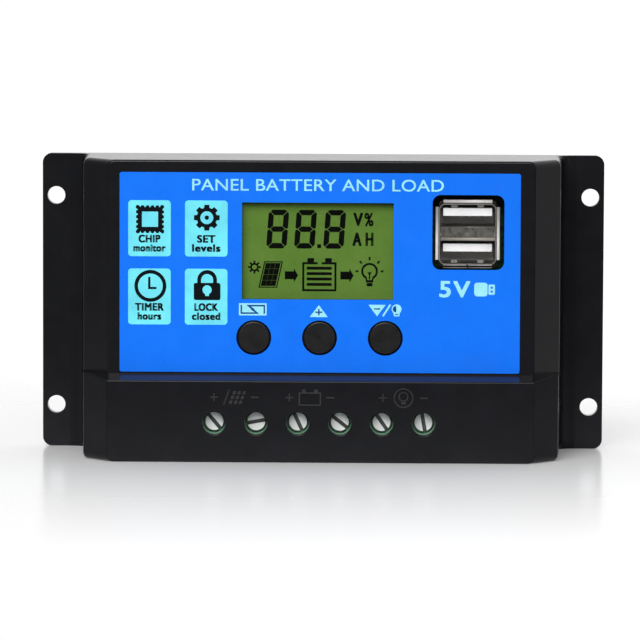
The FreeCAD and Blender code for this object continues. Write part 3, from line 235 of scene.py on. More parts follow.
def back_plate_shader():
    """Black anodised sheet with a straight brushed grain."""
    shader = Shader("anodised_sheet", (0.045, 0.045, 0.048), 0.38, metallic=0.85)
    streaks = shader.stretched((0.03, 1, 1))
    lines = shader.ramp(shader.noise(size_mm=0.5, vector=streaks), 0, 1)
    shader.paint(shader.mix(lines, (0.034, 0.034, 0.037), (0.062, 0.062, 0.066)))
    shader.smudge(size_mm=0.6, amount=0.07, vector=streaks)
    return shader.grain(size_mm=0.3, depth_mm=0.004, strength=0.6, vector=streaks)


SLOT_SHADERS = {
    "case_plastic": moulded("case_black", (0.0092, 0.0094, 0.0114), 0.19, handling=0.012,
                            wave_mm=0.003, Specular_IOR_Level=0.18),
    "plate_black": back_plate_shader(),
    "button_plastic": moulded("button_black", (0.0050, 0.0045, 0.0050), 0.32, 0.08, 0.004,
                              Specular_IOR_Level=0.36),
    "label_print": label_shader(),
    "display_glass": display_shader(),
    "light_guide": moulded("light_guide", (0.38, 0.52, 0.10), 0.22, 0.4, 0.01),
    "holder_plastic": moulded("holder_black", (0.015, 0.015, 0.015), 0.5),
    "pin_metal": metal("tin_plate", (0.72, 0.70, 0.66), 0.28),
    # Painted shade: the outlets' steel is darkened far below bright nickel, to the shade deep in their
    # mouths.
    "usb_steel": metal("usb_nickel_shaded", (0.21, 0.20, 0.18), 0.32, (1, 0.15, 1)),
    "white_plastic": moulded("white_nylon", (0.95, 0.94, 0.96), 0.42, 0.06, 0.005),
    "terminal_green": moulded("terminal_green", (0.165, 0.345, 0.215), 0.36, 0.14, 0.006),
    # Painted shade: the screws' slots and the rims of their heads near the wells' walls darken to 3 % of
    # the colour.
    "screw_steel": metal("zinc_plate", (0.95, 0.99, 0.97), 0.42, metallic=0.08).painted_crevice_shade(
        reach_mm=1.0, shade=0.03),
    "clamp_steel": metal("clamp_zinc", (0.66, 0.66, 0.63), 0.34, (1, 1, 0.2)),
    "board_laminate": board_shader(),
    "standoff_brass": metal("turned_brass", (0.66, 0.45, 0.16), 0.26, (1, 0.1, 1)),
    "pad_rubber": moulded("silicone_pad", (0.24, 0.30, 0.38), 0.62, 0.3, 0.01),
    "epoxy_black": moulded("epoxy", (0.020, 0.020, 0.021), 0.52, 0.08, 0.006),
    "tab_copper": metal("tinned_copper", (0.64, 0.60, 0.55), 0.34, (0.2, 1, 1)),
    "capacitor_sleeve": sleeve_shader(),
    "ferrite": moulded("ferrite", (0.030, 0.030, 0.032), 0.58, 0.2, 0.015),
    "coil_copper": winding_shader(),
    "crystal_can": metal("crystal_can", (0.74, 0.73, 0.70), 0.22),
    "switch_plastic": moulded("switch_black", (0.016, 0.016, 0.017), 0.45),
    "switch_steel": metal("switch_steel", (0.62, 0.61, 0.58), 0.32, (0.3, 1, 1)),
    "resistor_ceramic": moulded("resistor_glaze", (0.018, 0.018, 0.022), 0.30, 0.05, 0.003),
    "capacitor_ceramic": moulded("tan_ceramic", (0.34, 0.20, 0.10), 0.50, 0.06, 0.004),
}


def ink(name, color, roughness, gloss):
    """Printed ink or a display segment: almost no relief of its own."""
    return moulded(name, color, roughness, grain_mm=0.10, depth_mm=0.001, Specular_IOR_Level=gloss)


INK_LIGHT = ink("ink_light", (0.34, 0.82, 0.98), 0.36, 0.2)
INK_TILE = ink("ink_tile", (0.175, 0.810, 0.980), 0.34, 0.2)
INK_BLACK = ink("ink_black", (0.0010, 0.0030, 0.0050), 0.42, 0.1)
INK_BLUE = ink("ink_blue", (0.0060, 0.060, 0.30), 0.34, 0.2)
SEGMENT = ink("lcd_segment", (0.0006, 0.0014, 0.0004), 0.34, 0.08)
CASE_RELIEF = moulded("case_relief", (0.016, 0.016, 0.017), 0.34, 0.10, 0.004, Specular_IOR_Level=0.5)
# Painted highlight: a bright, almost non-metallic copy of the outlets' steel for the flared lips and feet.
HIGHLIGHT_STEEL = metal("rolled_edge_highlight", (0.66, 0.64, 0.62), 0.55, metallic=0.12)
# Painted light: a mid-bright copy of the outlets' steel for the soles, the divider's foot and the frame's
# inner edge.
DIM_LIT_STEEL = metal("edge_dim_lit_steel", (0.34, 0.31, 0.28), 0.55, metallic=0.12)
# Painted shadow: near-black steel laid over the rim where the bend lies in shade.
FOLD_SHADOW_STEEL = metal("fold_painted_shadow", (0.020, 0.019, 0.017), 0.40)
# Steel lighter than the outlets' shell: on the divider's head and side edges it is a painted highlight; the
# dimple and the leaf springs use it too.
SPRING_AND_HIGHLIGHT_STEEL = metal("leaf_spring_and_highlight_steel", (0.30, 0.31, 0.27), 0.36, metallic=0.7)


def dress_cad_nodes():
    """Every CAD node gets the finish of its slot."""
    for subpart in frame["record"]["subparts"]:
        mesh = frame["nodes"][subpart["node"]].data
        mesh.materials.clear()
        mesh.materials.append(SLOT_SHADERS[subpart["material_slot"]].material)


# ---- flat pieces: outlines in the front plane, in millimetres as (x, z) ----

TO_FRONT = Matrix.Rotation(math.radians(90), 4, "X")
# A capital's height as a share of the font's size.
CAPITAL_SHARE = 0.70
INK_THICKNESS = 0.03
PRINT_LIFT = 0.004
# The share of the boldness that goes up and down.
BOLD_RISE = 0.6
LETTER_STEPS = 6
CORNER_STEPS = 6


def finish_piece(piece, shader, body="case"):
    """Paints the piece, puts it in the scene and ties it to its body."""
    piece.data.materials.clear()
    piece.data.materials.append(shader.material)
    bpy.context.scene.collection.objects.link(piece)
    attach(piece, body)
    return piece


def from_curve(name, curve, depth_mm, thickness_mm, x_mm=0.0, z_mm=0.0):
    """Turns a flat curve or text into a mesh plate whose back is depth_mm in front of the wall."""
    curve.extrude = thickness_mm / 2 * MM
    holder = bpy.data.objects.new(f"{name}_outline", curve)
    bpy.context.scene.collection.objects.link(holder)
    bpy.context.view_layer.update()
    evaluated = holder.evaluated_get(bpy.context.evaluated_depsgraph_get())
    mesh = bpy.data.meshes.new_from_object(evaluated)
    bpy.data.objects.remove(holder)
    middle_y = -(depth_mm + thickness_mm / 2) * MM
    mesh.transform(Matrix.Translation((x_mm * MM, middle_y, z_mm * MM)) @ TO_FRONT)
    return bpy.data.objects.new(name, mesh)


def plate(name, loops, depth_mm, thickness_mm, shader, body="case"):
    """A thin plate from closed loops of (x, z); a loop inside another is a hole."""
    curve = bpy.data.curves.new(name, "CURVE")
    curve.dimensions = "2D"
    curve.fill_mode = "BOTH"
    for loop in loops:
        spline = curve.splines.new("POLY")
        spline.points.add(len(loop) - 1)
        for point, (x, z) in zip(spline.points, loop):
            point.co = (x * MM, z * MM, 0, 1)
        spline.use_cyclic_u = True
    return finish_piece(from_curve(name, curve, depth_mm, thickness_mm), shader, body)


def lettering(name, text, x, z, height, depth_mm, shader, slot, width, bold):
    """Raised lettering centred on x, with its baseline at z, capitals of this height and this width.

    It is four prints of the same text, moved apart by the bold amount towards the four corners, each
    a hair in front of the last so that no two faces share a plane.
    """
    curve = bpy.data.curves.new(name, "FONT")
    curve.body = text
    curve.size = height / CAPITAL_SHARE * MM
    curve.space_character = 1 + bold
    curve.align_x = "CENTER"
    curve.resolution_u = LETTER_STEPS
    piece = from_curve(name, curve, depth_mm, INK_THICKNESS, x, z)
    across = [vertex.co.x for vertex in piece.data.vertices]
    middle = (min(across) + max(across)) / 2
    span = (max(across) - min(across)) / MM
    scale = (width - 2 * bold) / span
    points = []
    faces = []
    for number, (sideways, upward) in enumerate(((-1, -1), (1, 1), (-1, 1), (1, -1))):
        first = len(points)
        points += [(x * MM + (vertex.co.x - middle) * scale + sideways * bold * MM,
                    vertex.co.y - number * PRINT_LIFT * MM,
                    vertex.co.z + upward * bold * BOLD_RISE * MM) for vertex in piece.data.vertices]
        faces += [tuple(first + index for index in face.vertices) for face in piece.data.polygons]
    bolder = bpy.data.meshes.new(name)
    bolder.from_pydata(points, [], faces)
    piece.data = bolder
    return finish_piece(piece, shader)


def rectangle(x0, z0, x1, z1):
    return [(x0, z0), (x1, z0), (x1, z1), (x0, z1)]


def polar(x, z, radius, angle_deg):
    """The point at an angle, anticlockwise from the right, on a circle round (x, z)."""
    angle = math.radians(angle_deg)
    return (x + radius * math.cos(angle), z + radius * math.sin(angle))


def circle(x, z, radius, steps=48):
    return [polar(x, z, radius, 360 * k / steps) for k in range(steps)]


def arc(x, z, radius, start_deg, end_deg, steps=16):
    """Points along part of a circle, both ends included."""
    sweep = end_deg - start_deg
    return [polar(x, z, radius, start_deg + sweep * k / steps) for k in range(steps + 1)]


def rounded(x0, z0, x1, z1, radius):
    """A rectangle with rounded corners."""
    left, right = x0 + radius, x1 - radius
    low, high = z0 + radius, z1 - radius
    corners = ((right, high), (left, high), (left, low), (right, low))
    return [point for quarter, (x, z) in enumerate(corners)
            for point in arc(x, z, radius, 90 * quarter, 90 * (quarter + 1), CORNER_STEPS)]


def stroke(x0, z0, x1, z1, width):
    """A straight bar between two points."""
    length = math.hypot(x1 - x0, z1 - z0)
    side_x = -(z1 - z0) / length * width / 2
    side_z = (x1 - x0) / length * width / 2
    return [(x0 + side_x, z0 + side_z), (x1 + side_x, z1 + side_z), (x1 - side_x, z1 - side_z),
            (x0 - side_x, z0 - side_z)]


def chamfered(x0, z0, x1, z1, cut):
    """A rectangle with its corners cut off."""
    return [(x0 + cut, z0), (x1 - cut, z0), (x1, z0 + cut), (x1, z1 - cut),
            (x1 - cut, z1), (x0 + cut, z1), (x0, z1 - cut), (x0, z0 + cut)]


def moved(loop, dx, dz):
    """The same outline shifted."""
    return [(x + dx, z + dz) for x, z in loop]


def boxed(x, z, x0, z0, x1, z1):
    """A rectangle whose corners are measured from (x, z)."""
    return rectangle(x + x0, z + z0, x + x1, z + z1)


def front_of(box):
    """How far a CAD node's box reaches from the wall, in millimetres."""
    return -box[0].y / MM


LABEL_FRONT = front_of(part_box("label_film"))
GLASS_FRONT = front_of(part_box("lcd_glass"))
TERMINAL_FRONT = front_of(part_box("front_shell"))


def print_on_label(name, loops, shader=INK_LIGHT, level=0):
    """Ink on the label; level lifts one print above another."""
    return plate(name, loops, LABEL_FRONT + level * INK_THICKNESS, INK_THICKNESS, shader)


# ---- the label's print ----

TITLE = {"x": -0.8, "z": 27.95, "height": 2.72, "width": 58.4, "bold": 0.03}

TILE_WIDTH = 9.9
TILE_HEIGHT = 13.05
TILE_CORNER = 0.8
TILE_LEFTS = (-44.85, -31.65)
TILE_TOPS = (25.6, 9.7)

CHIP_EDGE = 2.82
CHIP_HOLE_HALF = (1.88, 1.78)
# Each pin as (place along its side, radius).
CHIP_PINS = ((-CHIP_EDGE, 0.50), (-1.72, 0.44), (-0.57, 0.44), (0.57, 0.44), (1.72, 0.44))

GEAR_TEETH = 8
# One tooth as (degrees from its middle, radius): from the root, up one flank and down the other.
GEAR_TOOTH = ((-22.5, 2.32), (-15.5, 2.38), (-10.5, 3.04), (10.5, 3.04), (15.5, 2.38))
GEAR_HOLE = 1.5
GEAR_HUB = 0.5

CLOCK_OUTER = 3.72
CLOCK_INNER = 2.88
CLOCK_STEPS = 64
CLOCK_HANDS = ((-0.52, 2.1), (0.02, 2.1), (0.02, -0.25), (1.42, -0.25), (1.42, -0.75), (-0.52, -0.75))

LOCK_HALF_WIDTH = 3.1
LOCK_LOW, LOCK_HIGH = -4.4, -0.4
LOCK_CORNER = 0.45
SHACKLE_OUTER, SHACKLE_INNER = 2.3, 1.4
SHACKLE_FOOT, SHACKLE_BEND = -0.41, 0.3
KEYHOLE_Z, KEYHOLE_RADIUS = -2.0, 1.08
KEYHOLE_ARC = (-62, 242)
KEYHOLE_FOOT_HALF, KEYHOLE_FOOT_Z = 0.42, -3.45


def chip_icon(x, z):
    """A square chip outline whose sides carry rounded pins."""
    outline = []
    for side in range(4):
        turn = math.radians(90 * side)
        for along, radius in CHIP_PINS:
            for u, v in arc(along, -CHIP_EDGE, radius, 180, 360, 8):
                outline.append((x + u * math.cos(turn) - v * math.sin(turn),
                                z + u * math.sin(turn) + v * math.cos(turn)))
    half_wide, half_tall = CHIP_HOLE_HALF
    return [[outline, rectangle(x - half_wide, z - half_tall, x + half_wide, z + half_tall)]]


def gear_icon(x, z):
    """An eight-toothed gear with a hole and a hub dot."""
    pitch = 360 / GEAR_TEETH
    outline = [polar(x, z, radius, pitch * tooth + offset)
               for tooth in range(GEAR_TEETH) for offset, radius in GEAR_TOOTH]
    return [[outline, circle(x, z, GEAR_HOLE), circle(x, z, GEAR_HUB)]]


def clock_icon(x, z):
    """A clock face ring with two hands."""
    return [[circle(x, z, CLOCK_OUTER, CLOCK_STEPS), circle(x, z, CLOCK_INNER, CLOCK_STEPS),
             moved(CLOCK_HANDS, x, z)]]


def padlock_icon(x, z):
    """A closed padlock: its body with a keyhole, then its shackle as a second print."""
    body = rounded(-LOCK_HALF_WIDTH, LOCK_LOW, LOCK_HALF_WIDTH, LOCK_HIGH, LOCK_CORNER)
    keyhole = arc(0, KEYHOLE_Z, KEYHOLE_RADIUS, *KEYHOLE_ARC)
    keyhole += [(-KEYHOLE_FOOT_HALF, KEYHOLE_FOOT_Z), (KEYHOLE_FOOT_HALF, KEYHOLE_FOOT_Z)]
    shackle = [(SHACKLE_OUTER, SHACKLE_FOOT)] + arc(0, SHACKLE_BEND, SHACKLE_OUTER, 0, 180)
    shackle += [(-SHACKLE_OUTER, SHACKLE_FOOT), (-SHACKLE_INNER, SHACKLE_FOOT)]
    shackle += arc(0, SHACKLE_BEND, SHACKLE_INNER, 180, 0) + [(SHACKLE_INNER, SHACKLE_FOOT)]
    return [[moved(body, x, z), moved(keyhole, x, z)], [moved(shackle, x, z)]]


# Each tile: its pictogram, where that sits from the tile's top centre, and two captions with widths.
TILES = (("chip", chip_icon, (0.12, -4.42), ("CHIP", 5.1), ("monitor", 7.5)),
         ("gear", gear_icon, (0.12, -4.0), ("SET", 4.25), ("levels", 6.6)),
         ("clock", clock_icon, (0.22, -4.05), ("TIMER", 6.7), ("hours", 5.5)),
         ("padlock", padlock_icon, (0.22, -2.9), ("LOCK", 5.5), ("closed", 6.6)))
PRINT_PARTS = {"padlock": ("_body", "_shackle")}
# Each caption line: its baseline below the tile's top, and its capitals' height.
UPPER_LINE = (9.75, 1.66)
LOWER_LINE = (11.85, 1.62)
CAPTION_BOLD = 0.12


def build_tiles():
    """Four pale tiles with black pictograms and two-line captions."""
    for index, (name, icon, (across, down), upper, lower) in enumerate(TILES):
        left = TILE_LEFTS[index % 2]
        top = TILE_TOPS[index // 2]
        middle = left + TILE_WIDTH / 2
        tile = rounded(left, top - TILE_HEIGHT, left + TILE_WIDTH, top, TILE_CORNER)
        print_on_label(f"tile_{name}", [tile], INK_TILE)
        for part, loops in zip(PRINT_PARTS.get(name, ("",)), icon(middle + across, top + down)):
            print_on_label(f"icon_{name}{part}", loops, INK_BLACK, 1)
        lines = (("upper", upper, UPPER_LINE), ("lower", lower, LOWER_LINE))
        for line, (text, width), (drop, height) in lines:
            lettering(f"caption_{name}_{line}", text, middle, top - drop, height,
                      LABEL_FRONT + INK_THICKNESS, INK_BLACK, "label_print", width, CAPTION_BOLD)


def build_title():
    """The line of text along the label's top."""
    lettering("title", "PANEL BATTERY AND LOAD", depth_mm=LABEL_FRONT, shader=INK_LIGHT, slot="label_print",
              **TITLE)


# Each mark's origin: the menu box's centre, the middle of a triangle's level side, the bulb's centre.
MENU_MARK = (-15.84, 0.30)
UP_MARK = (-0.48, -1.42)
DOWN_MARK = (13.05, 1.52)
BULB_MARK = (17.6, 0.50)
SLASH = (14.4, -1.15, 16.15, 1.58)
SLASH_WIDTH = 0.42
MENU_HALF_LINE = ((-2.85, 1.02), (-2.5, 1.02), (-2.5, -0.7), (0.5, -0.7), (-0.5, 0.0), (0.2, 0.1),
                  (1.5, -1.06), (-2.85, -1.06))


def build_button_marks():
    """Light pictograms above the three buttons."""
    print_on_label("mark_menu", [boxed(*MENU_MARK, -3.22, -1.42, 3.22, 1.42)])
    lines = [MENU_HALF_LINE, [(-across, -up) for across, up in MENU_HALF_LINE]]
    print_on_label("mark_menu_lines", [moved(line, *MENU_MARK) for line in lines], INK_BLUE, 1)
    print_on_label("mark_up", [moved([(-2.1, 0), (2.1, 0), (0, 2.8)], *UP_MARK)])
    print_on_label("mark_plus_across", [boxed(*UP_MARK, -0.8, 0.98, 0.8, 1.3)], INK_BLUE, 1)
    print_on_label("mark_plus_upright", [boxed(*UP_MARK, -0.16, 0.45, 0.16, 1.85)], INK_BLUE, 2)
    print_on_label("mark_down", [moved([(-2.0, 0), (0, -2.7), (2.0, 0)], *DOWN_MARK)])
    print_on_label("mark_minus", [boxed(*DOWN_MARK, -0.75, -1.1, 0.75, -0.82)], INK_BLUE, 1)
    print_on_label("mark_slash", [stroke(*SLASH, SLASH_WIDTH)])
    bulb = arc(0, 0, 1.15, -50, 230) + [(-0.62, -1.65), (0.62, -1.65)]
    print_on_label("mark_bulb", [moved(bulb, *BULB_MARK)])
    shade = arc(-0.15, 0.05, 0.75, 90, 270) + [(-0.05, -0.2)]
    print_on_label("mark_bulb_shade", [moved(shade, *BULB_MARK)], INK_BLUE, 1)
    print_on_label("mark_bulb_line", [boxed(*BULB_MARK, -0.35, -1.32, 0.35, -1.14)], INK_BLUE, 1)


VOLTS = {"x": 31.1, "z": 3.45, "height": 3.7, "width": 7.2, "bold": 0.16}
PLUG_BODY, PLUG_BODY_CORNER = (35.6, 3.6, 38.7, 6.8), 0.7
PLUG_TIP, PLUG_TIP_CORNER = (38.9, 4.0, 40.4, 6.4), 0.3
PLUG_HOLES = ((39.4, 4.5, 39.9, 5.0), (39.4, 5.4, 39.9, 5.9))


def build_outlet_mark():
    """A generic plug pictogram and its voltage under the outlets."""
    lettering("outlet_volts", "5V", depth_mm=LABEL_FRONT, shader=INK_LIGHT, slot="label_print", **VOLTS)
    print_on_label("plug_body", [rounded(*PLUG_BODY, PLUG_BODY_CORNER)])
    tip = [rounded(*PLUG_TIP, PLUG_TIP_CORNER)] + [rectangle(*hole) for hole in PLUG_HOLES]
    print_on_label("plug_tip", tip)


# ---- the display's segments ----

DIGIT_LEFTS = (-12.86, -6.38, 0.40)
DIGIT_LOW = 14.38
DIGIT_WIDTH = 4.75
DIGIT_HEIGHT = 9.0
SEGMENT_WIDTH = 1.25
SEGMENT_CUT = 0.7
SEGMENT_GAP = 0.05
SLANT = 0.07
DECIMAL_POINT = (-0.95, 14.5, -0.05, 15.4)


def show(name, loops):
    """A dark segment of the display."""
    return plate(name, loops, GLASS_FRONT, INK_THICKNESS, SEGMENT)


def seven_segments(x, z):
    """The seven bars of an 8 whose lower left corner is at (x, z), leaning to the right.

    The bars meet in mitres with a hairline gap, the outer corners are cut off, and the middle bar
    ends in two points.
    """
    wide, tall, gap = DIGIT_WIDTH, DIGIT_HEIGHT, SEGMENT_GAP
    mid = tall / 2
    half = SEGMENT_WIDTH / 2
    inner = SEGMENT_WIDTH + 2 * gap
    cut = SEGMENT_WIDTH * SEGMENT_CUT
    corner = cut / 2
    middle = [(half + gap, mid), (inner, mid + half), (wide - inner, mid + half),
              (wide - half - gap, mid), (wide - inner, mid - half), (inner, mid - half)]
    foot = [(cut, 0), (wide - cut, 0), (wide - corner - gap, corner - gap),
            (wide - inner, SEGMENT_WIDTH), (inner, SEGMENT_WIDTH), (corner + gap, corner - gap)]
    upright = [(0, cut), (corner - gap, corner + gap), (SEGMENT_WIDTH, inner),
               (SEGMENT_WIDTH, mid - half - gap), (half * SEGMENT_CUT, mid - gap), (0, mid - half / 2)]
    bars = [middle]
    for flip in (False, True):
        bars.append([(u, tall - v if flip else v) for u, v in foot])
        for mirrored in (False, True):
            bars.append([(wide - u if mirrored else u, tall - v if flip else v) for u, v in upright])
    return [[(x + u + SLANT * v, z + v) for u, v in bar] for bar in bars]


def build_digits():
    """Three digits with every bar shown, and the point between the last two."""
    for index, left in enumerate(DIGIT_LEFTS):
        for number, bar in enumerate(seven_segments(left, DIGIT_LOW)):
            show(f"digit_{index}_bar_{number}", [bar])
    show("decimal_point", [rectangle(*DECIMAL_POINT)])


# Each unit letter: its name, text, middle, baseline, width and boldness.
UNITS = (("volts", "V", 8.55, 19.75, 2.3, 0.15), ("percent", "%", 11.05, 19.75, 2.1, 0.10),
         ("amps", "A", 8.3, 15.15, 2.15, 0.15), ("hours", "H", 11.2, 15.15, 1.85, 0.15))
UNIT_HEIGHT = 3.0


def build_unit_letters():
    """Unit letters to the right of the digits."""
    for name, text, x, z, width, bold in UNITS:
        lettering(f"unit_{name}", text, x, z, UNIT_HEIGHT, GLASS_FRONT, SEGMENT, "display_glass",
                  width, bold)


ICON_LINE = 0.48
RAY_WIDTH = 0.42

SUN = (-15.55, 9.98)
SUN_OUTER, SUN_INNER, SUN_REACH = 0.98, 0.58, 1.5
SUN_STEPS = 32
SUN_RAYS = 8


def build_sun():
    """A small ring with eight rays."""
    show("sun_ring", [circle(*SUN, SUN_OUTER, SUN_STEPS), circle(*SUN, SUN_INNER, SUN_STEPS)])
    for ray in range(SUN_RAYS):
        angle = 360 / SUN_RAYS * ray
        show(f"sun_ray_{ray}", [stroke(*polar(*SUN, SUN_OUTER, angle), *polar(*SUN, SUN_REACH, angle),
                                       RAY_WIDTH)])


PANEL_LEFT, PANEL_WIDTH, PANEL_LEAN = -14.6, 4.33, 1.35
PANEL_LOW, PANEL_HIGH = 5.2, 11.35
PANEL_COLUMNS, PANEL_ROWS = 3, 4
# The rest are shares of the panel's width and height.
FRAME_SIDE, FRAME_END = 0.06, 0.035
CELLS_LEFT, CELLS_WIDTH = 0.10, 0.80
CELLS_LOW, CELLS_HEIGHT = 0.065, 0.88
CELL_GAP = 0.008


def build_panel():
    """A leaning solar panel: thin frame and a grid of dark cells."""
    def slanted(u0, v0, u1, v1):
        return [(PANEL_LEFT + PANEL_WIDTH * u + PANEL_LEAN * v, PANEL_LOW + (PANEL_HIGH - PANEL_LOW) * v)
                for u, v in rectangle(u0, v0, u1, v1)]

    inner = slanted(FRAME_SIDE, FRAME_END, 1 - FRAME_SIDE, 1 - FRAME_END)
    show("panel_frame", [slanted(0, 0, 1, 1), inner])
    cell_width = CELLS_WIDTH / PANEL_COLUMNS
    cell_height = CELLS_HEIGHT / PANEL_ROWS
    for column in range(PANEL_COLUMNS):
        for row in range(PANEL_ROWS):
            u = CELLS_LEFT + cell_width * column
            v = CELLS_LOW + cell_height * row
            show(f"panel_cell_{column}_{row}",
                 [slanted(u, v, u + cell_width - CELL_GAP, v + cell_height - CELL_GAP)])


ARROW = ((0, -0.92), (2.12, -0.92), (2.12, -1.65), (3.08, 0), (2.12, 1.65), (2.12, 0.92), (0, 0.92))
ARROW_LEFTS = {"charge": -8.48, "supply": 4.45}
ARROW_Z = 8.12


def build_arrows():
    """One arrow into the battery and one out of it."""
    for name, x in ARROW_LEFTS.items():
        show(f"arrow_{name}", [moved(ARROW, x, ARROW_Z)])


BATTERY = (-4.42, 4.42, 3.55, 11.2)
BATTERY_GAP_LEFT, BATTERY_GAP_RIGHT = 3.6, 3.45
POST_LEFT, POST_RIGHT, POST_WIDTH = 1.2, 2.65, 1.55
POST_LIFT, POST_TOP = 0.02, 0.95
BAR_COUNT, BAR_FIRST, BAR_PITCH, BAR_HEIGHT = 4, 5.68, 1.26, 0.68
BAR_LEFT, BAR_RIGHT = 1.05, 1.1


def build_battery():
    """A battery outline, open at the top between two posts, with four charge bars."""
    left, low, right, high = BATTERY
    line = ICON_LINE
    outline = [(left, low), (right, low), (right, high), (right - BATTERY_GAP_RIGHT, high),
               (right - BATTERY_GAP_RIGHT, high - line), (right - line, high - line),
               (right - line, low + line), (left + line, low + line), (left + line, high - line),
               (left + BATTERY_GAP_LEFT, high - line), (left + BATTERY_GAP_LEFT, high), (left, high)]
    show("battery_outline", [outline])
    for side, x in (("left", left + POST_LEFT), ("right", right - POST_RIGHT)):
        show(f"battery_post_{side}", [rectangle(x, high + POST_LIFT, x + POST_WIDTH, high + POST_TOP)])
    for level in range(BAR_COUNT):
        z = BAR_FIRST + BAR_PITCH * level
        show(f"battery_bar_{level}", [rectangle(left + BAR_LEFT, z, right - BAR_RIGHT, z + BAR_HEIGHT)])


LAMP = (11.25, 9.15)
LAMP_RADIUS = 1.95
LAMP_ARC, LAMP_INNER_ARC = (-60, 240), (-62, 242)
LAMP_STEPS = 30
LAMP_NECK = ((-0.85, -2.15), (-0.85, -2.6), (0.85, -2.6), (0.85, -2.15))
LAMP_INNER_NECK = ((-0.52, -2.05), (0.52, -2.05))
LAMP_BASE, LAMP_BASE_CORNER = (-0.7, -3.5, 0.7, -2.72), 0.3
LAMP_FILAMENT = ((-0.55, -0.25), (0.55, -0.25), (0.15, -0.75), (0.15, -1.9), (-0.15, -1.9),
                 (-0.15, -0.75))
LAMP_RAY_ANGLES = (0, 45, 90, 135, 180)
LAMP_RAY_START = 2.6
# How far the rays reach sideways and upwards.
LAMP_RAY_ENDS = (3.25, 3.35)


def build_lamp():
    """A lamp outline with rays, a screw base and a filament."""
    x, z = LAMP
    outer = arc(0, 0, LAMP_RADIUS, *LAMP_ARC, LAMP_STEPS) + list(LAMP_NECK)
    inner = arc(0, 0, LAMP_RADIUS - ICON_LINE, *LAMP_INNER_ARC, LAMP_STEPS) + list(LAMP_INNER_NECK)
    show("lamp_outline", [moved(outer, x, z), moved(inner, x, z)])
    show("lamp_base", [moved(rounded(*LAMP_BASE, LAMP_BASE_CORNER), x, z)])
    show("lamp_filament", [moved(LAMP_FILAMENT, x, z)])
    ends_x, ends_z = LAMP_RAY_ENDS
    for number, angle in enumerate(LAMP_RAY_ANGLES):
        turn = math.radians(angle)
        show(f"lamp_ray_{number}", [stroke(*polar(x, z, LAMP_RAY_START, angle),
                                           x + ends_x * math.cos(turn), z + ends_z * math.sin(turn),
                                           RAY_WIDTH)])


# ---- moulded marks on the terminal section ----

MOULD_HEIGHT = 0.22
MOULD_Z = -19.75
MOULD_MIDDLES = {"panel": -19.9, "battery": -2.4, "lamp": 19.3}
SIGN_SPREAD = 4.75
SIGN_REACH = 0.9
SIGN_WIDTH = 0.32
SIGN_GAP = 0.18
PANEL_EDGE, PANEL_EDGE_WIDTH = (-2.5, -1.75, -1.2, 1.75), 0.3
# The panel's cells: their number each way, the first one's place, the steps right and up, and the
# lean of each row.
CELL_COUNT = 3
CELL_LEFT, CELL_LOW = -1.35, -1.55
CELL_ACROSS, CELL_UP, CELL_LEAN = 1.15, 1.1, 0.42
CELL_OUTLINE = ((0, 0), (0.7, 0), (0.95, 0.75), (0.25, 0.75))
BATTERY_OUTER = (-2.6, -1.9, 2.6, 1.2)
BATTERY_INNER = (-2.3, -1.6, 2.3, 0.9)
BATTERY_POST, BATTERY_POST_SPREAD = (-0.45, 1.22, 0.45, 1.85), 1.4
LAMP_RING = (2.3, 2.0)
LAMP_GLASS, LAMP_GLASS_LIFT = (1.15, 0.88), 0.3
LAMP_FOOT = (-0.5, -1.45, 0.5, -0.95)


def raise_mark(name, loops):
    """A raised mark on the front of the terminal section."""
    return plate(name, loops, TERMINAL_FRONT, MOULD_HEIGHT, CASE_RELIEF)


def build_signs(name, x, z):
    """A plus sign left of x and a minus sign right of it."""
    plus, minus = x - SIGN_SPREAD, x + SIGN_SPREAD
    raise_mark(f"mould_{name}_plus", [stroke(plus - SIGN_REACH, z, plus + SIGN_REACH, z, SIGN_WIDTH)])
    raise_mark(f"mould_{name}_plus_upright",
               [stroke(plus, z - SIGN_REACH, plus, z - SIGN_GAP, SIGN_WIDTH),
                stroke(plus, z + SIGN_GAP, plus, z + SIGN_REACH, SIGN_WIDTH)])
    raise_mark(f"mould_{name}_minus", [stroke(minus - SIGN_REACH, z, minus + SIGN_REACH, z, SIGN_WIDTH)])


def build_moulded_marks():
    """Raised pictograms for panel, battery and lamp, each between its plus and minus signs."""
    z = MOULD_Z
    for name, x in MOULD_MIDDLES.items():
        build_signs(name, x, z)
    x = MOULD_MIDDLES["panel"]
    raise_mark("mould_panel_edge", [moved(stroke(*PANEL_EDGE, PANEL_EDGE_WIDTH), x, z)])
    for row in range(CELL_COUNT):
        for column in range(CELL_COUNT):
            left = x + CELL_LEFT + CELL_ACROSS * column + CELL_LEAN * row
            low = z + CELL_LOW + CELL_UP * row
            raise_mark(f"mould_panel_cell_{row}_{column}", [moved(CELL_OUTLINE, left, low)])
    x = MOULD_MIDDLES["battery"]
    raise_mark("mould_battery", [boxed(x, z, *BATTERY_OUTER), boxed(x, z, *BATTERY_INNER)])
    for side, post in (("left", x - BATTERY_POST_SPREAD), ("right", x + BATTERY_POST_SPREAD)):
        raise_mark(f"mould_battery_post_{side}", [boxed(post, z, *BATTERY_POST)])
    x = MOULD_MIDDLES["lamp"]
    raise_mark("mould_lamp_ring", [circle(x, z, radius) for radius in LAMP_RING])
    raise_mark("mould_lamp_bulb", [circle(x, z + LAMP_GLASS_LIFT, radius) for radius in LAMP_GLASS])
    raise_mark("mould_lamp_base", [boxed(x, z, *LAMP_FOOT)])


# ---- the outlets' rolled edges in painted highlights, the fold's painted shadow and the springs, placed from the middle of the steel shell's front ----

BAR_STEPS = 8
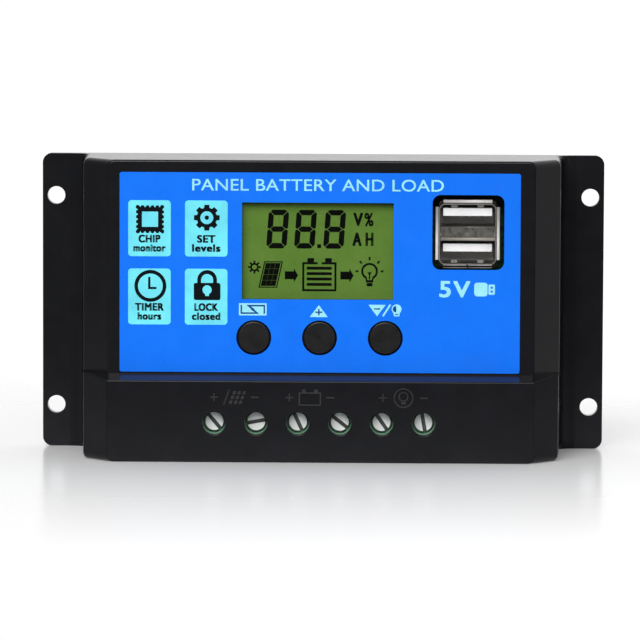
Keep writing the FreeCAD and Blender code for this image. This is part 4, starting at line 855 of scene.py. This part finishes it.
# Each bar: its ends as (left, low, right, high), and its steel: the lips and feet in painted highlight, the
# soles in dimmer painted light.
LIPS = {"top": ((-5.65, 6.97, 5.65, 7.82), HIGHLIGHT_STEEL),
        "left": ((-7.5, -6.15, -6.72, 6.15), HIGHLIGHT_STEEL),
        "right": ((6.72, -6.15, 7.5, 6.15), HIGHLIGHT_STEEL),
        "foot_left": ((-5.65, -7.5, -0.25, -7.28), HIGHLIGHT_STEEL),
        "foot_right": ((0.1, -7.5, 5.65, -7.28), HIGHLIGHT_STEEL),
        "sole_left": ((-5.65, -8.12, -0.1, -7.9), DIM_LIT_STEEL),
        "sole_right": ((0.25, -8.12, 5.65, -7.9), DIM_LIT_STEEL)}
LIP_BULGE = 0.22
# The divider between the two mouths lies this far behind the shell's front.
DIVIDER_SET_BACK = 0.2
DIVIDER_FOOT = (-6.38, -1.76, 6.38, -0.98)
DIVIDER_FOOT_BULGE = 0.2
# The divider's light edge bars: painted highlight.
DIVIDER_EDGES = {"head": (-6.38, 1.36, 6.38, 1.54), "left": (-6.38, -1.0, -6.18, 1.38),
                 "right": (6.18, -1.0, 6.38, 1.38)}
DIVIDER_EDGE_BULGE = 0.08
DIMPLE_Z, DIMPLE_OUTER, DIMPLE_INNER = -0.3, 0.42, 0.26
DIMPLE_HEIGHT = 0.06
DIMPLE_STEPS = 24
# The folded rim's outline, drawn in near-black as a painted shadow of the bend.
FOLD_OUTER = (-6.78, -7.9, 6.78, 7.55)
FOLD_CORNER = 1.2
FOLD_INNER = (-6.36, -6.94, 6.36, 6.98)
FOLD_HEIGHT = 0.03
# The thin edge inside the fold: its outer and inner outlines, each with its corner cut.
EDGE_OUTER = (-6.6, -7.2, 6.6, 6.8, 0.85)
EDGE_INNER = (-6.49, -7.09, 6.49, 6.69, 0.8)
SPRING_PLACES = ((-3.1, 6.3), (3.0, 6.3), (-3.1, -6.6), (3.0, -6.6))
SPRING_LEAF = (-0.75, -0.35, 0.75, 0.35)
SPRING_CORNER = 0.2
SPRING_SET_BACK = 1.4
SPRING_THICKNESS = 0.1


def rolled_bar(name, ends, middle, depth, bulge, shader):
    """A bar that swells towards the viewer, like the flared edge of a pressed steel shell."""
    (x0, z0), _, (x1, z1), _ = boxed(*middle, *ends)
    along_x = x1 - x0 > z1 - z0
    points = []
    for end in range(2):
        for step in range(BAR_STEPS + 1):
            share = step / BAR_STEPS
            x = (x0, x1)[end] if along_x else x0 + (x1 - x0) * share
            z = z0 + (z1 - z0) * share if along_x else (z0, z1)[end]
            points.append((x * MM, -(depth + bulge * math.sin(math.pi * share)) * MM, z * MM))
    row = BAR_STEPS + 1
    faces = [(k, k + 1, row + k + 1, row + k) for k in range(BAR_STEPS)]
    faces += [tuple(range(row)), tuple(range(2 * row - 1, row - 1, -1)), (0, row, 2 * row - 1, row - 1)]
    mesh = bpy.data.meshes.new(name)
    mesh.from_pydata(points, [], faces)
    for face in mesh.polygons[:BAR_STEPS]:
        face.use_smooth = True
    return finish_piece(bpy.data.objects.new(name, mesh), shader)


def steel_plate(name, loops, middle, depth, thickness, shader):
    """A flat steel detail of the outlets."""
    return plate(name, [moved(loop, *middle) for loop in loops], depth, thickness, shader)


def build_outlet_details():
    """Flared lips round the shell and the divider's edges, drawn in painted highlights; the folded rim as a
    painted shadow; and the leaf springs.
    """
    low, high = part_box("usb_shell")
    middle = ((low.x + high.x) / 2 / MM, (low.z + high.z) / 2 / MM)
    front = -low.y / MM
    for side, (ends, shader) in LIPS.items():
        rolled_bar(f"usb_lip_{side}", ends, middle, front, LIP_BULGE, shader)
    divider = front - DIVIDER_SET_BACK
    rolled_bar("usb_divider_foot", DIVIDER_FOOT, middle, divider, DIVIDER_FOOT_BULGE, DIM_LIT_STEEL)
    for side, ends in DIVIDER_EDGES.items():
        rolled_bar(f"usb_divider_{side}", ends, middle, divider, DIVIDER_EDGE_BULGE, SPRING_AND_HIGHLIGHT_STEEL)
    dimple = [circle(0, DIMPLE_Z, radius, DIMPLE_STEPS) for radius in (DIMPLE_OUTER, DIMPLE_INNER)]
    steel_plate("usb_divider_dimple", dimple, middle, divider, DIMPLE_HEIGHT, SPRING_AND_HIGHLIGHT_STEEL)
    fold = [rounded(*FOLD_OUTER, FOLD_CORNER), rectangle(*FOLD_INNER)]
    steel_plate("usb_rim_fold_shadow", fold, middle, front, FOLD_HEIGHT, FOLD_SHADOW_STEEL)
    edge = [chamfered(*EDGE_OUTER), chamfered(*EDGE_INNER)]
    steel_plate("usb_frame_edge", edge, middle, front + FOLD_HEIGHT, FOLD_HEIGHT, DIM_LIT_STEEL)
    leaf = rounded(*SPRING_LEAF, SPRING_CORNER)
    for number, place in enumerate(SPRING_PLACES):
        steel_plate(f"usb_spring_{number}", [moved(leaf, *place)], middle, front - SPRING_SET_BACK,
                    SPRING_THICKNESS, SPRING_AND_HIGHLIGHT_STEEL)


# ---- floor, light and camera ----

# The floor is solid up to the first distance and gone at the second, in metres. Across, both are
# longer by one over the aspect.
FLOOR_SOLID = 0.012
FLOOR_GONE = 0.185
FLOOR_ASPECT = 0.45


def build_floor():
    """A white sheet that fades out into the white surroundings away from the object."""
    shader = Shader("floor_white", (0.86, 0.86, 0.86), 0.20, Specular_IOR_Level=0.5)
    shader.mottle(size_mm=180.0, amount=0.006).smudge(size_mm=90.0, amount=0.02)
    nodes, links = shader.tree.nodes, shader.tree.links
    flat = nodes.new("ShaderNodeVectorMath")
    flat.operation = "LENGTH"
    links.new(shader.stretched((FLOOR_ASPECT, 1, 0)), flat.inputs[0])
    fade = nodes.new("ShaderNodeMapRange")
    fade.inputs["From Min"].default_value = FLOOR_SOLID
    fade.inputs["From Max"].default_value = FLOOR_GONE
    links.new(flat.outputs["Value"], fade.inputs["Value"])
    blend = nodes.new("ShaderNodeMixShader")
    links.new(fade.outputs["Result"], blend.inputs[0])
    links.new(shader.surface.outputs[0], blend.inputs[1])
    links.new(nodes.new("ShaderNodeBsdfTransparent").outputs[0], blend.inputs[2])
    links.new(blend.outputs[0], nodes["Material Output"].inputs["Surface"])
    size = FLOOR_GONE / FLOOR_ASPECT
    mesh = bpy.data.meshes.new("floor")
    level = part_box("front_shell")[0].z
    corners = [(-size, -size, level), (size, -size, level), (size, size, level), (-size, size, level)]
    mesh.from_pydata(corners, [], [(0, 1, 2, 3)])
    floor = bpy.data.objects.new("floor", mesh)
    mesh.materials.append(shader.material)
    bpy.context.scene.collection.objects.link(floor)


STUDIO_BRIGHT_SIDE = Vector((0.24, 0.96, 0.10)).normalized()
STUDIO_DIM, STUDIO_BRIGHT = 0.10, 1.12
STUDIO_DIM_UP_TO = 0.30


def build_world():
    """White studio: pure white to the camera; its light is bright behind the object, dim in front."""
    world = bpy.data.worlds.new("studio")
    world.use_nodes = True
    tree = world.node_tree
    background = tree.nodes["Background"]
    place = tree.nodes.new("ShaderNodeTexCoord").outputs["Generated"]
    towards = tree.nodes.new("ShaderNodeVectorMath")
    towards.operation = "DOT_PRODUCT"
    towards.inputs[1].default_value = STUDIO_BRIGHT_SIDE
    tree.links.new(place, towards.inputs[0])
    fade = tree.nodes.new("ShaderNodeMapRange")
    fade.inputs["From Min"].default_value = STUDIO_DIM_UP_TO
    fade.inputs["From Max"].default_value = 1.0
    fade.inputs["To Min"].default_value = STUDIO_DIM
    fade.inputs["To Max"].default_value = STUDIO_BRIGHT
    tree.links.new(towards.outputs["Value"], fade.inputs["Value"])
    seen = tree.nodes.new("ShaderNodeLightPath").outputs["Is Camera Ray"]
    strength = tree.nodes.new("ShaderNodeMath")
    strength.operation = "MAXIMUM"
    tree.links.new(seen, strength.inputs[0])
    tree.links.new(fade.outputs["Result"], strength.inputs[1])
    tree.links.new(strength.outputs[0], background.inputs["Strength"])
    background.inputs["Color"].default_value = (1, 1, 1, 1)
    bpy.context.scene.world = world


# Each softbox: its place and its width and height in metres, and its power in watts.
SOFTBOXES = {"key": ((-0.45, -1.2, 1.0), (0.9, 0.7), 15.5),
             "front": ((-0.05, -1.35, 0.56), (0.6, 0.5), 8.6),
             "fill": ((1.1, -0.8, 0.45), (0.5, 0.9), 0.8),
             "top": ((0.0, 0.25, 1.3), (1.2, 0.8), 4.5)}


def softbox(name, position, size, power):
    """A rectangular light that faces the frame's origin."""
    data = bpy.data.lights.new(name, "AREA")
    data.shape = "RECTANGLE"
    data.size, data.size_y = size
    data.energy = power
    light = bpy.data.objects.new(name, data)
    light.location = position
    light.rotation_euler = (-Vector(position)).to_track_quat("-Z", "Y").to_euler()
    bpy.context.scene.collection.objects.link(light)


def build_lights():
    """Four softboxes."""
    for name, (position, size, power) in SOFTBOXES.items():
        softbox(name, position, size, power)


# Angles in degrees, the distance in metres, the lens and the sensor in millimetres.
AZIMUTH, ELEVATION, ROLL = 0.91, 5.03, -0.24
DISTANCE = 1.116
TARGET = Vector((-0.44, -15.0, -3.43)) * MM
LENS = 266.3
SENSOR = 36


def build_camera():
    """A long lens a little above and to the right of the target."""
    azimuth, elevation, roll = (math.radians(angle) for angle in (AZIMUTH, ELEVATION, ROLL))
    ahead = Vector((-math.sin(azimuth) * math.cos(elevation), math.cos(azimuth) * math.cos(elevation),
                    -math.sin(elevation)))
    right = Vector((math.cos(azimuth), math.sin(azimuth), 0))
    above = right.cross(ahead)
    turned_right = right * math.cos(roll) - above * math.sin(roll)
    turned_above = right * math.sin(roll) + above * math.cos(roll)
    data = bpy.data.cameras.new("camera")
    data.lens = LENS
    data.sensor_width = SENSOR
    camera = bpy.data.objects.new("camera", data)
    axes = Matrix((turned_right, turned_above, -ahead)).transposed().to_4x4()
    camera.matrix_world = Matrix.Translation(TARGET - ahead * DISTANCE) @ axes
    bpy.context.scene.collection.objects.link(camera)
    bpy.context.scene.camera = camera


bpy.context.scene.view_settings.view_transform = "Standard"
dress_cad_nodes()
build_title()
build_tiles()
build_button_marks()
build_outlet_mark()
build_digits()
build_unit_letters()
build_sun()
build_panel()
build_arrows()
build_battery()
build_lamp()
build_moulded_marks()
build_outlet_details()
build_floor()
build_world()
build_lights()
build_camera()
